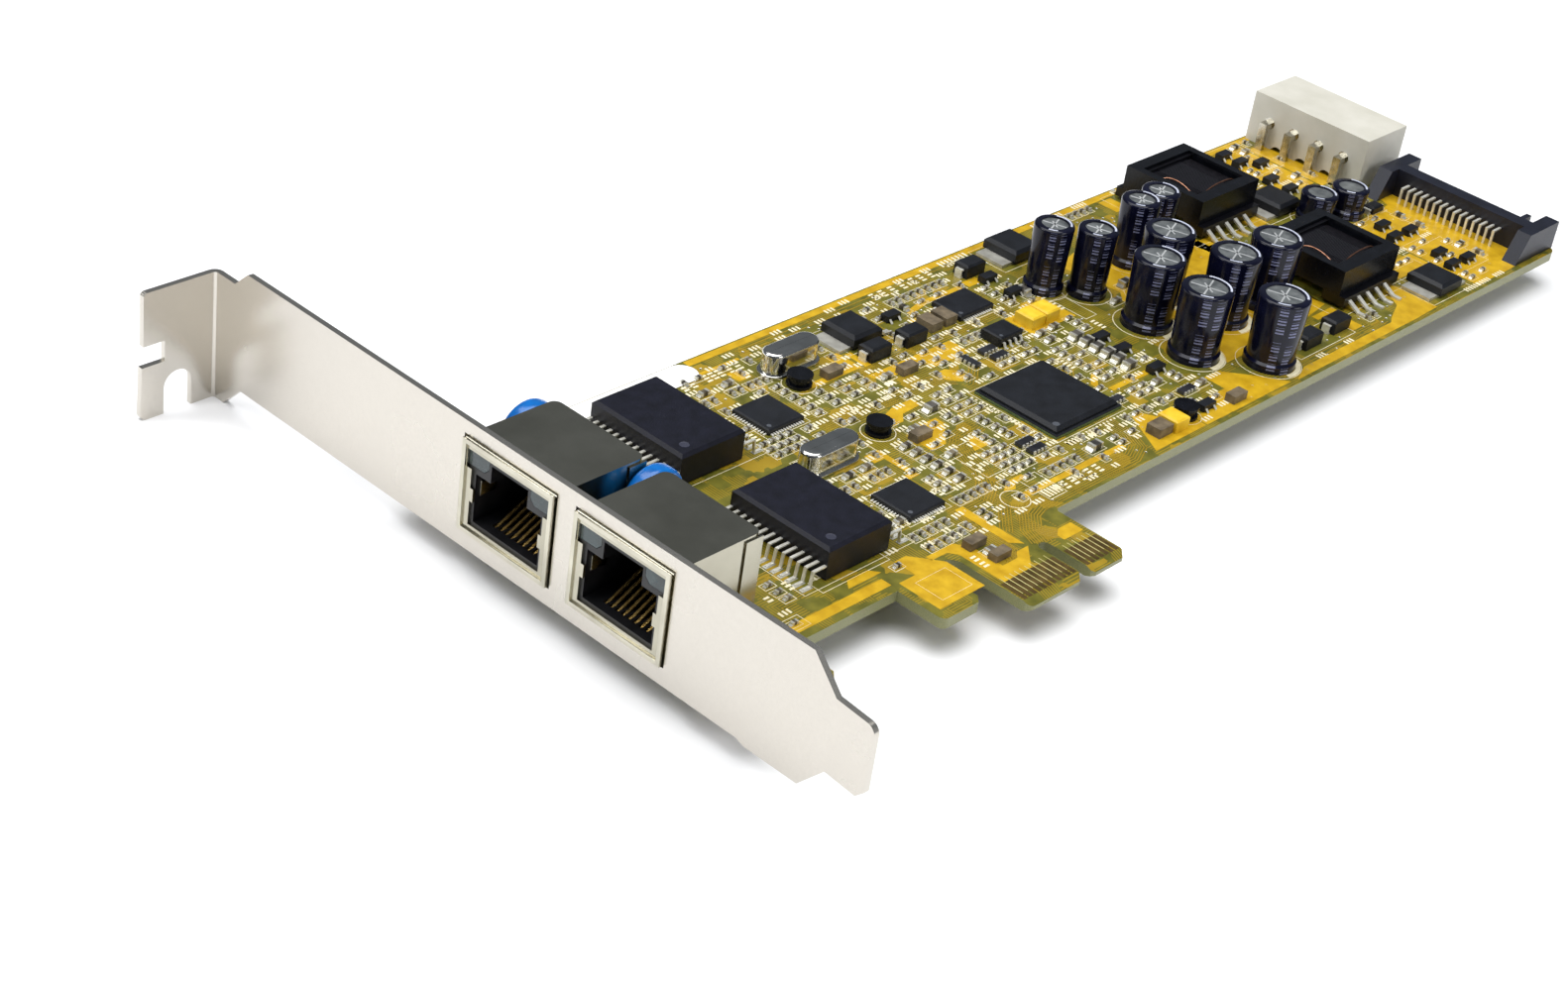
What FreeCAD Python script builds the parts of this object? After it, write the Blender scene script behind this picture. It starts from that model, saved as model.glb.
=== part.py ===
import FreeCAD, Part
import math
import os
from FreeCAD import Vector

# Dual-port network interface card with a full-height slot bracket.
# All lengths are millimetres. While the pieces are being made, x runs from the outer face
# of the bracket along the card, y from the board's lower edge to its upper edge and z up
# from the board's component face. On export x is counted from the key notch instead.

# Faces of small round things, and how far a cutter reaches past what it cuts
CAN_SIDES = 20
ROUND_SIDES = 16
PIN_SIDES = 12
DRILL_SIDES = 6
OVERCUT = 1.0

# Board blank
BOARD_T = 1.57
BOARD_START = 1.9
BOARD_END = 201.5
BOARD_HEIGHT = 56.16
BOARD_CORNER_R = 1.8
LEG_END = 16.1
LEG_DEPTH = 7.6
LEG_CHAMFER = 1.0

# Card edge, counted from the centre line of the key notch
FACE_TO_KEY = 59.05
EDGE_DEPTH = 12.3
EDGE_BEVEL = 1.3
EDGE_BEVEL_T = 0.5
LONG_TONGUE = 12.15
SHORT_TONGUE = 8.15
KEY_NOTCH_W = 1.9
KEY_NOTCH_END = 3.9
TONGUE_CORNER = 1.0
NOTCH_CORNER = 0.5
PAD_PITCH = 1.0
PAD_W = 0.7
PAD_LENGTH = 4.0
PAD_T = 0.04
PAD_TO_KEY = 1.5
LONG_PAD_COUNT = 11
SHORT_PAD_COUNT = 7

# Retention hook beside the long tongue
HOOK_SLOT_W = 4.0
HOOK_W = 7.7
HOOK_DEPTH = 7.8
HOOK_SLOT_TOP = 1.0
HOOK_CORNER_R = 1.0

# Slot bracket, folded from one sheet
SHEET = 0.86
BRACKET_LENGTH = 120.02
TONGUE_END = -26.1
STRIP_TOP = 15.58
LUG_CLEARANCE = 0.2
TAPER_START = -15.7
TAPER_DROP = 4.3
TONGUE_LENGTH = 6.35
TONGUE_W = 10.3
TONGUE_R = 1.3
TONGUE_LEAN = 0.55
SKIRT_DROP = 0.45
SKIRT_TOP = -7.6
FOLD_R = 0.5
FOLD_ZONE = 4.1
FOLD_SLOPE = 2.6
TAB_LENGTH = 11.43
TAB_TOP = 13.05
TAB_BOTTOM = -6.2
TAB_NOTCH_DEPTH = 3.4
TAB_NOTCH_LOW = 1.9
TAB_NOTCH_HIGH = 5.05
TAB_EAR_REACH = 0.45
TAB_EAR_R = 1.0
TAB_CORNER_R = 0.6
TAB_SHOULDER = 0.5
STRIP_CORNER_R = 0.4
TAPER_CORNER = 0.4
SKIRT_STEP = 1.3
FOLD_FOOT = 2.0
SCREW_SLOT_R = 2.21
SCREW_SLOT_X = 5.95
SCREW_SLOT_DEPTH = 6.1

# Bracket lugs under the board and their screws
LUG_W = 8.6
LUG_REACH = 10.2
LUG_UPPER_Y = 49.8
LUG_LOWER_Y = -2.2
LUG_HOLE_X = 6.4
LUG_CORNER = 2.4
COLLAR_WALL = 0.9
SCREW_R = 1.5
SCREW_HOLE_R = 1.6
SCREW_HEAD_R = 2.9
SCREW_HEAD_H = 1.9
SCREW_CROWN_R = 2.1
SCREW_DRIVE_REACH = 1.45
SCREW_DRIVE_W = 0.8
SCREW_DRIVE_DEPTH = 1.1

# Network jacks
JACK_CENTRES = {"near": 14.58, "far": 34.63}
JACK_W = 16.4
JACK_H = 13.5
JACK_PROUD = 0.25
JACK_BACK = 14.9
JACK_SHEET = 0.3
JACK_TOP_R = 0.9
JACK_REAR_R = 1.2
JACK_FIT = 0.05
JACK_WINDOW_GAP = 0.25
FLANGE_REACH = 2.9
FLANGE_T = 0.25
FLANGE_DROP = 0.5
SHIELD_TAIL_W = 1.2
SHIELD_TAIL_X = 4.2
SHIELD_TAIL_PITCH = 6.4
SHIELD_TAIL_HOLE_R = 0.8
TAIL_DEPTH = 2.6
WINDOW_LOW_Z = 1.4
WINDOW_STEP_Z = 9.45
WINDOW_TOP_Z = 12.1
WINDOW_LOW_W = 13.0
WINDOW_TOP_W = 14.8
GROUND_TAB_W = 1.9
GROUND_TAB_REACH = 0.55
GROUND_TAB_Z = 5.75
PLUG_W = 11.9
PLUG_LOW_Z = 1.9
PLUG_TOP_Z = 8.9
PLUG_DEPTH = 11.8
LATCH_W = 6.6
LATCH_TOP_Z = 11.4
PIPE_W = 3.6
PIPE_H = 2.2
PIPE_TOP_GAP = 0.1
PIPE_SIDE_GAP = 0.05
PIPE_CUT = 0.8
PIPE_BACK = 12.4
WIRE_COUNT = 8
WIRE_PITCH = 1.02
WIRE_W = 0.35
WIRE_T = 0.25
WIRE_FRONT = 2.0
WIRE_TIP_X = 9.4
WIRE_TIP_Z = 5.4
WIRE_FOOT_Z = 0.7
WIRE_BEND_Z = 1.5
WIRE_SLOT_W = 0.6
WIRE_TAIL_X = 8.9
WIRE_TAIL_STAGGER = 2.54
WIRE_HOLE_R = 0.4

# Disc capacitors that stand beside the jacks
DISC_R = 4.5
DISC_T = 2.8
DISC_RIM = 0.8
DISC_CENTRES_X = {"near": 14.9, "far": 12.6}
DISC_TOP_Z = 12.9
DISC_LEAD_R = 0.32
DISC_LEAD_PITCH = 5.0
DISC_HOLE_R = 0.45

# Pulse transformers
PULSE_CENTRE_X = 35.1
PULSE_CENTRES = {"near": 15.45, "far": 41.65}
PULSE_W = 11.9
PULSE_LENGTH = 17.1
PULSE_TOP = 4.8
PULSE_STANDOFF = 0.2
PULSE_CHAMFER = 0.45
PULSE_LEAD_COUNT = 14
PULSE_LEAD_PITCH = 1.27
PULSE_LEAD_W = 0.45
PULSE_LEAD_T = 0.2
PULSE_LEAD_REACH = 3.85
PULSE_LEAD_FOOT = 1.3
PULSE_LEAD_SHOULDER = 2.3
PULSE_LEAD_Z = 2.2

# Crystals
CRYSTALS = {"near": (49.7, 25.7), "far": (64.5, 46.8)}
CRYSTAL_LENGTH = 11.0
CRYSTAL_W = 4.6
CRYSTAL_RIM = 0.45
CRYSTAL_RIM_T = 0.5
CRYSTAL_TOP = 3.7
CRYSTAL_TOP_R = 0.45

# Flat packages: centre x, centre y, length along x, length along y, height
BRIDGE_CHIP = (88.9, 18.7, 15.0, 15.0, 1.35)
BRIDGE_CAP_INSET = 0.5
BRIDGE_BASE_T = 0.5
PORT_CHIPS = {"near": (51.8, 12.9, 7.0, 7.0, 0.9), "far": (51.9, 38.7, 7.0, 7.0, 0.9)}
POWER_CHIP = (99.6, 43.9, 7.6, 5.8, 0.95)
MEMORY_CHIP = (97.3, 34.5, 5.0, 3.9, 1.6)
MEMORY_LEAD_COUNT = 4
MEMORY_LEAD_PITCH = 1.27
MEMORY_LEAD_W = 0.42
MEMORY_LEAD_T = 0.18
MEMORY_LEAD_REACH = 1.05
CHIP_CHAMFER = 0.2

# Electrolytic capacitors: centre x, centre y, radius, height
TALL_R = 4.0
TALL_H = 11.5
SLIM_R = 3.15
SLIM_H = 11.1
LOW_H = 5.0
CAPACITORS = [
    (115.1, 40.9, SLIM_R, SLIM_H),
    (119.9, 36.1, SLIM_R, SLIM_H),
    (134.0, 38.6, SLIM_R, SLIM_H),
    (142.4, 40.6, SLIM_R, SLIM_H - 1.6),
    (128.8, 29.2, TALL_R, TALL_H),
    (120.0, 24.6, TALL_R, TALL_H),
    (131.6, 18.8, TALL_R, TALL_H),
    (118.4, 14.6, TALL_R, TALL_H),
    (141.7, 18.2, TALL_R, TALL_H),
    (126.6, 6.5, TALL_R, TALL_H),
    (173.9, 30.2, SLIM_R, LOW_H),
    (180.7, 28.6, SLIM_R, LOW_H),
]
CAN_EDGE = 0.45
CAN_GROOVE = 0.35
CAN_GROOVE_Z = 1.5

# Power transformers
POWER_CENTRE_X = 158.1
POWER_CENTRES = {"near": 17.8, "far": 45.1}
CORE_W = 15.6
CORE_LENGTH = 15.4
CORE_LOW = 2.2
CORE_TOP = 6.4
CORE_SIDE = 1.5
CORE_END = 2.2
CORE_LEG_W = 4.6
CORE_LEG_H = 1.8
CORE_LEG_Z = 3.9
BOBBIN_WALL = 0.6
BOBBIN_FLANGE_TOP = 5.9
BOBBIN_FIT = 0.1
RAIL_LOW = 0.6
RAIL_REACH = 1.1
RAIL_DEPTH = 3.0
WINDING_TOP = 5.4
WINDING_LOW = 1.9
WINDING_CUT = 0.7
POWER_LEAD_PLACE_COUNT = 6
POWER_LEAD_PITCH = 2.5
POWER_LEAD_W = 0.8
POWER_LEAD_T = 0.35
POWER_LEAD_REACH = {-1: 3.4, 1: 1.9}
POWER_LEAD_FOOT = {-1: 1.3, 1: 0.7}
POWER_LEAD_COUNTS = {-1: 5, 1: 6}

# Four-pin power connector
FOUR_X = 190.1
FOUR_DEPTH = 11.9
FOUR_W = 23.2
FOUR_TOP = 9.0
FOUR_CENTRE_Y = 44.0
FOUR_WALL = 1.1
FOUR_BACK = 2.6
FOUR_CHAMFER = 2.2
FOUR_PITCH = 5.08
FOUR_PIN_COUNT = 4
FOUR_PIN_R = 1.05
FOUR_PIN_Z = 4.4
FOUR_TAIL_X = 188.5
FOUR_TAIL_W = 1.4
FOUR_TAIL_T = 0.9
FOUR_HOLE_R = 0.95
FOUR_ARCH_R = 1.3
FOUR_ARCH_DEPTH = 1.6
FOUR_ARCH_Z = -0.4
FOUR_PIN_STOP = 2.5
FOUR_TAIL_GRIP = 0.5
FOUR_TAIL_DEPTH = 3.4

# Fifteen-pin power connector
FLAT_BACK = 194.3
FLAT_FRONT = 197.1
FLAT_TOP = 4.8
FLAT_NEAR = 1.0
FLAT_FAR = 30.4
FLAT_ARM_W = 2.5
FLAT_ARM_END = 201.5
FLAT_ARM_FOOT = 189.5
FLAT_ARM_SHOULDER = 192.3
FLAT_TONGUE_END = 199.4
FLAT_TONGUE_LOW = 1.5
FLAT_TONGUE_T = 1.1
FLAT_KEY_T = 0.9
FLAT_KEY_TOP = 4.7
FLAT_TONGUE_LEFT = 2.4
FLAT_TONGUE_RIGHT = 1.6
FLAT_LEAD_STOP = 0.4
FLAT_LEAD_COUNT = 15
FLAT_PITCH = 1.27
FLAT_LEAD_Y = 7.46
FLAT_LEAD_X = 192.2
FLAT_LEAD_W = 0.42
FLAT_LEAD_T = 0.3
FLAT_HOLE_R = 0.4

# Power switches with a metal tab: tab edge x, centre y
SWITCHES = [(73.1, 47.4), (114.5, 51.1), (166.0, 36.9), (165.6, 5.3)]
SWITCH_W = 6.5
SWITCH_BODY_X = 2.3
SWITCH_BODY_LENGTH = 6.1
SWITCH_TOP = 2.3
SWITCH_TAB_W = 5.3
SWITCH_TAB_T = 0.5
SWITCH_TAB_GRIP = 5.1
SWITCH_CHAMFER = 0.5
SWITCH_LEAD_PITCH = 4.56
SWITCH_LEAD_W = 0.8
SWITCH_LEAD_T = 0.4
SWITCH_LEAD_REACH = 2.6
SWITCH_LEAD_Z = 0.9

# Rectifier diodes: low corner x, low corner y, length, width, height
DIODE_LENGTH = 4.3
DIODE_W = 2.7
DIODE_TOP = 2.2
SMALL_DIODE_LENGTH = 3.0
SMALL_DIODE_W = 2.1
SMALL_DIODE_TOP = 1.3
DIODES = [
    (75.0, 40.3, DIODE_LENGTH, DIODE_W, DIODE_TOP),
    (82.8, 40.2, DIODE_LENGTH, DIODE_W, DIODE_TOP),
    (106.8, 49.2, DIODE_LENGTH, DIODE_W, DIODE_TOP),
    (134.3, 5.0, DIODE_LENGTH, DIODE_W, DIODE_TOP),
    (142.4, 5.3, DIODE_LENGTH, DIODE_W, DIODE_TOP),
    (184.2, 25.3, SMALL_DIODE_LENGTH, SMALL_DIODE_W, SMALL_DIODE_TOP),
]
DIODE_CHAMFER = 0.3
DIODE_LEAD_W = 1.3
DIODE_LEAD_T = 0.2
DIODE_LEAD_REACH = 0.45
DIODE_LEAD_SHARE = 0.6

# Small transistors: centre x, centre y
TRANSISTORS = [
    (109.3, 42.0), (109.4, 47.2), (87.4, 47.6), (109.6, 25.4), (109.6, 21.3), (109.4, 14.9),
    (179.5, 52.8), (179.7, 49.5), (182.9, 47.4), (179.0, 42.6), (178.9, 38.6),
    (181.4, 21.7), (179.7, 18.2), (184.0, 18.0), (181.3, 10.6), (179.7, 7.1), (184.0, 6.9),
    (107.0, 4.0),
]
TRANSISTOR_LENGTH = 2.9
TRANSISTOR_W = 1.5
TRANSISTOR_TOP = 1.1
TRANSISTOR_LIFT = 0.1
TRANSISTOR_LEAD_W = 0.4
TRANSISTOR_LEAD_T = 0.12
TRANSISTOR_LEAD_REACH = 0.55
TRANSISTOR_LEAD_PITCH = 1.9

# Moulded tantalum capacitors: low corner x, low corner y
TANTALUMS = [(103.0, 33.2), (106.4, 33.2), (97.3, 2.2)]
TANTALUM_W = 3.1
TANTALUM_LENGTH = 3.5
TANTALUM_TOP = 1.9
TANTALUM_CHAMFER = 0.25

# Drum inductors: centre x, centre y
DRUMS = [(62.0, 42.3), (61.9, 27.2), (102.6, 4.5)]
DRUM_R = 1.9
DRUM_WAIST_R = 1.45
DRUM_FLANGE = 0.45
DRUM_TOP = 1.9

# Large ceramic capacitors: low corner x, low corner y, length along x, length along y, height
CERAMICS = [
    (49.6, 0.1, 3.2, 1.6, 1.2),
    (50.4, -3.6, 3.0, 1.5, 1.1),
    (64.0, 21.9, 3.2, 1.7, 1.2),
    (66.2, 40.6, 3.2, 1.7, 1.2),
    (76.2, 35.1, 3.2, 1.6, 1.2),
    (89.4, 41.2, 2.5, 3.2, 1.4),
    (92.6, 41.2, 2.5, 3.2, 1.4),
    (94.0, 2.6, 3.1, 2.5, 1.5),
    (111.3, 2.0, 3.2, 1.7, 1.3),
]


def to_space(plane, a, b, c):
    """The point with in-plane coordinates a, b and height c over the named plane."""
    if plane == "xy":
        return Vector(a, b, c)
    if plane == "xz":
        return Vector(a, c, b)
    return Vector(c, a, b)


def corner_arc(before, here, after, radius):
    """Start, middle and end of the arc that rounds one corner of an outline."""
    back = (before - here).normalize()
    ahead = (after - here).normalize()
    half = back.getAngle(ahead) / 2.0
    reach = radius / math.tan(half)
    start = here + back * reach
    end = here + ahead * reach
    axis = (back + ahead).normalize()
    middle = here + axis * (radius / math.sin(half) - radius)
    return start, middle, end


def outline(plane, corners, level):
    """A flat face through (a, b) or (a, b, radius) corners at a level over the plane."""
    points = [to_space(plane, corner[0], corner[1], level) for corner in corners]
    radii = [corner[2] if len(corner) > 2 else 0.0 for corner in corners]
    edges = []
    joints = []
    count = len(points)
    for i in range(count):
        if radii[i] > 0.0:
            joints.append(corner_arc(points[i - 1], points[i], points[(i + 1) % count], radii[i]))
        else:
            joints.append((points[i], None, points[i]))
    for i in range(count):
        start, middle, end = joints[i]
        if middle is not None:
            edges.append(Part.Arc(start, middle, end).toShape())
        following = joints[(i + 1) % count][0]
        if (following - end).Length > 1e-6:
            edges.append(Part.LineSegment(end, following).toShape())
    return Part.Face(Part.Wire(edges))


def prism(plane, corners, low, high):
    """An outline carried from one level of its plane's normal to another."""
    face = outline(plane, corners, low)
    return face.extrude(to_space(plane, 0.0, 0.0, high - low))


def block(x0, x1, y0, y1, z0, z1):
    return Part.makeBox(x1 - x0, y1 - y0, z1 - z0, Vector(x0, y0, z0))


def post(x, y, z0, z1, radius):
    return Part.makeCylinder(radius, z1 - z0, Vector(x, y, z0), Vector(0, 0, 1))


def ring(centre, across, upward, radius, sides):
    """Corners of one flat-sided ring round a centre."""
    corners = []
    for i in range(sides):
        angle = 2.0 * math.pi * i / sides
        corners.append(centre + across * (radius * math.cos(angle))
                       + upward * (radius * math.sin(angle)))
    return corners


def turned(origin, axis, across, profile, sides):
    """A turned solid with few flats, from (radius, height) points along its axis."""
    upward = axis.cross(across)
    faces = []
    before = None
    for radius, height in profile:
        here = ring(origin + axis * height, across, upward, radius, sides) if radius > 0.0 else None
        if before is None and here is not None:
            faces.append(Part.Face(Part.makePolygon(here + here[:1])))
        if before is not None and here is not None:
            for i in range(sides):
                k = (i + 1) % sides
                faces.append(Part.Face(Part.makePolygon(
                    [before[i], before[k], here[k], here[i], before[i]])))
        if before is not None and here is None:
            faces.append(Part.Face(Part.makePolygon(before + before[:1])))
        before = here
    solid = Part.Solid(Part.Shell(faces))
    if solid.Volume < 0.0:
        solid.reverse()
    return solid


def upright(x, y, profile, sides):
    """A turned solid that stands on the board."""
    return turned(Vector(x, y, 0), Vector(0, 0, 1), Vector(1, 0, 0), profile, sides)


def peg(x, y, z0, z1, radius, sides):
    """A small round post or drilled hole, with few flats."""
    return upright(x, y, [(0.0, z0), (radius, z0), (radius, z1), (0.0, z1)], sides)


def bar(x0, x1, y, z, radius, sides):
    """A small round bar along the card, with few flats."""
    return turned(Vector(0, y, z), Vector(1, 0, 0), Vector(0, 1, 0),
                  [(0.0, x0), (radius, x0), (radius, x1), (0.0, x1)], sides)


def ribbon(plane, route, thickness, low, high):
    """A bent strip: a centre line in the plane, its thickness, and its width from low to high."""
    left = []
    right = []
    last = len(route) - 1
    for i, (a, b) in enumerate(route):
        before = route[max(i - 1, 0)]
        after = route[min(i + 1, last)]
        into = Vector(a - before[0], b - before[1], 0) if i > 0 else None
        out = Vector(after[0] - a, after[1] - b, 0) if i < last else None
        into = into.normalize() if into else None
        out = out.normalize() if out else None
        if into and out:
            along = (into + out).normalize()
            stretch = 1.0 / along.dot(into)
        else:
            along = into or out
            stretch = 1.0
        side = Vector(-along.y, along.x, 0) * (thickness / 2.0 * stretch)
        left.append((a + side.x, b + side.y))
        right.append((a - side.x, b - side.y))
    return prism(plane, left + right[::-1], low, high)


def drooping(plane, wall, bend, end, height, thickness, low, high):
    """A strip that slopes from a body's side to the board and may run on along it."""
    half = thickness / 2.0
    corners = [(wall, height - half), (wall, height + half), (bend, thickness)]
    if end != bend:
        corners += [(end, thickness), (end, 0.0)]
    return prism(plane, corners + [(bend, 0.0)], low, high)


def chamfered_block(x0, x1, y0, y1, z0, z1, chamfer):
    """A moulded package: a block with its top edges drawn in."""
    body = block(x0, x1, y0, y1, z0, z1)
    top = [edge for edge in body.Edges if edge.BoundBox.ZMin > z1 - 1e-6]
    return body.makeChamfer(chamfer, top)


def evenly(count, pitch, centre):
    return [centre + (i - (count - 1) / 2.0) * pitch for i in range(count)]


def fused(shapes):
    result = shapes[0]
    for shape in shapes[1:]:
        result = result.fuse(shape)
    return result.removeSplitter()


def without(shape, cutters):
    result = shape
    for cutter in cutters:
        result = result.cut(cutter)
    return result


# Values that several pieces share
KEY = FACE_TO_KEY
LONG_START = KEY - LONG_TONGUE
SHORT_END = KEY + SHORT_TONGUE
HOOK_END = LONG_START - HOOK_SLOT_W
HOOK_START = HOOK_END - HOOK_W
STRIP_BOTTOM = -BOARD_T - LUG_CLEARANCE - SHEET
TAB_FACE = TONGUE_END + BRACKET_LENGTH - SHEET
LUG_TOP = STRIP_BOTTOM + SHEET
SCREW_PLACES = [(LUG_HOLE_X, LUG_UPPER_Y), (LUG_HOLE_X, LUG_LOWER_Y)]
JACK_FRONT = -JACK_PROUD
SHIELD_TAIL_XS = [SHIELD_TAIL_X, SHIELD_TAIL_X + SHIELD_TAIL_PITCH]
FOUR_PIN_YS = evenly(FOUR_PIN_COUNT, FOUR_PITCH, FOUR_CENTRE_Y)
FLAT_LEAD_YS = [FLAT_LEAD_Y + i * FLAT_PITCH for i in range(FLAT_LEAD_COUNT)]


def jack_wire_tail(i):
    return WIRE_TAIL_X + (i % 2) * WIRE_TAIL_STAGGER


def jack_wire_ys(centre):
    return evenly(WIRE_COUNT, WIRE_PITCH, centre)


def jack_side(centre, side):
    return centre + side * JACK_W / 2.0


def disc_place(place):
    """The disc stands midway in the gap beside its jack."""
    pitch = JACK_CENTRES["far"] - JACK_CENTRES["near"]
    return DISC_CENTRES_X[place], JACK_CENTRES[place] + pitch / 2.0


def make_board():
    """Fibreglass blank with its leg, hook, card edge, key notch and drilled holes."""
    tip = -EDGE_DEPTH
    near_notch = KEY - KEY_NOTCH_W / 2.0
    far_notch = KEY + KEY_NOTCH_W / 2.0
    notch_y = -KEY_NOTCH_END - KEY_NOTCH_W / 2.0
    slot_r = HOOK_SLOT_W / 2.0
    slot_x = LONG_START - slot_r
    slot_y = HOOK_SLOT_TOP - slot_r
    corners = [
        (BOARD_START, BOARD_HEIGHT),
        (BOARD_START, -LEG_DEPTH),
        (LEG_END - LEG_CHAMFER, -LEG_DEPTH),
        (LEG_END, -LEG_DEPTH + LEG_CHAMFER),
        (LEG_END, 0.0),
        (HOOK_START, 0.0),
        (HOOK_START, -HOOK_DEPTH, HOOK_CORNER_R),
        (HOOK_END - HOOK_CORNER_R, -HOOK_DEPTH),
        (HOOK_END, -HOOK_DEPTH + HOOK_CORNER_R),
        (HOOK_END, slot_y),
        (LONG_START, slot_y),
        (LONG_START, tip, TONGUE_CORNER),
        (near_notch - TONGUE_CORNER, tip),
        (near_notch, tip + TONGUE_CORNER),
        (near_notch, notch_y),
        (far_notch, notch_y),
        (far_notch, tip + NOTCH_CORNER),
        (far_notch + NOTCH_CORNER, tip),
        (SHORT_END - TONGUE_CORNER, tip),
        (SHORT_END, tip + TONGUE_CORNER),
        (SHORT_END, -NOTCH_CORNER),
        (SHORT_END + NOTCH_CORNER, 0.0),
        (BOARD_END, 0.0, BOARD_CORNER_R),
        (BOARD_END, BOARD_HEIGHT, BOARD_CORNER_R),
    ]
    board = prism("xy", corners, -BOARD_T, 0.0)
    beyond = tip - OVERCUT
    bevel_top = [(beyond, OVERCUT), (beyond, -EDGE_BEVEL_T), (tip, -EDGE_BEVEL_T),
                 (tip + EDGE_BEVEL, 0.0), (tip + EDGE_BEVEL, OVERCUT)]
    bevel_low = [(a, -BOARD_T - b) for a, b in bevel_top]
    cutters = [prism("yz", bevel, LONG_START - OVERCUT, SHORT_END + OVERCUT)
               for bevel in (bevel_top, bevel_low)]
    through = (-BOARD_T - OVERCUT, OVERCUT)
    cutters.append(post(slot_x, slot_y, *through, slot_r))
    cutters.append(post(KEY, notch_y, *through, KEY_NOTCH_W / 2.0))
    drills = [(x, y, SCREW_HOLE_R, ROUND_SIDES) for x, y in SCREW_PLACES]
    for centre in JACK_CENTRES.values():
        for i, y in enumerate(jack_wire_ys(centre)):
            drills.append((jack_wire_tail(i), y, WIRE_HOLE_R, DRILL_SIDES))
        for side in (-1, 1):
            y = jack_side(centre, side) - side * JACK_SHEET / 2.0
            drills += [(x, y, SHIELD_TAIL_HOLE_R, DRILL_SIDES) for x in SHIELD_TAIL_XS]
    for place in JACK_CENTRES:
        disc_x, disc_y = disc_place(place)
        drills += [(x, disc_y, DISC_HOLE_R, DRILL_SIDES)
                   for x in evenly(2, DISC_LEAD_PITCH, disc_x)]
    drills += [(FOUR_TAIL_X, y, FOUR_HOLE_R, DRILL_SIDES) for y in FOUR_PIN_YS]
    drills += [(FLAT_LEAD_X, y, FLAT_HOLE_R, DRILL_SIDES) for y in FLAT_LEAD_YS]
    cutters += [peg(x, y, *through, radius, sides) for x, y, radius, sides in drills]
    return without(board, cutters)


def make_edge_contacts():
    """Gold pads of the card edge, on both faces of the board."""
    inner = -EDGE_DEPTH + EDGE_BEVEL + PAD_LENGTH
    outer = -EDGE_DEPTH + EDGE_BEVEL
    places = [KEY - PAD_TO_KEY - i * PAD_PITCH for i in range(LONG_PAD_COUNT)]
    places += [KEY + PAD_TO_KEY + i * PAD_PITCH for i in range(SHORT_PAD_COUNT)]
    pads = []
    for x in places:
        pads.append(block(x - PAD_W / 2.0, x + PAD_W / 2.0, outer, inner, 0.0, PAD_T))
        pads.append(block(x - PAD_W / 2.0, x + PAD_W / 2.0, outer, inner,
                          -BOARD_T - PAD_T, -BOARD_T))
    return pads


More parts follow.
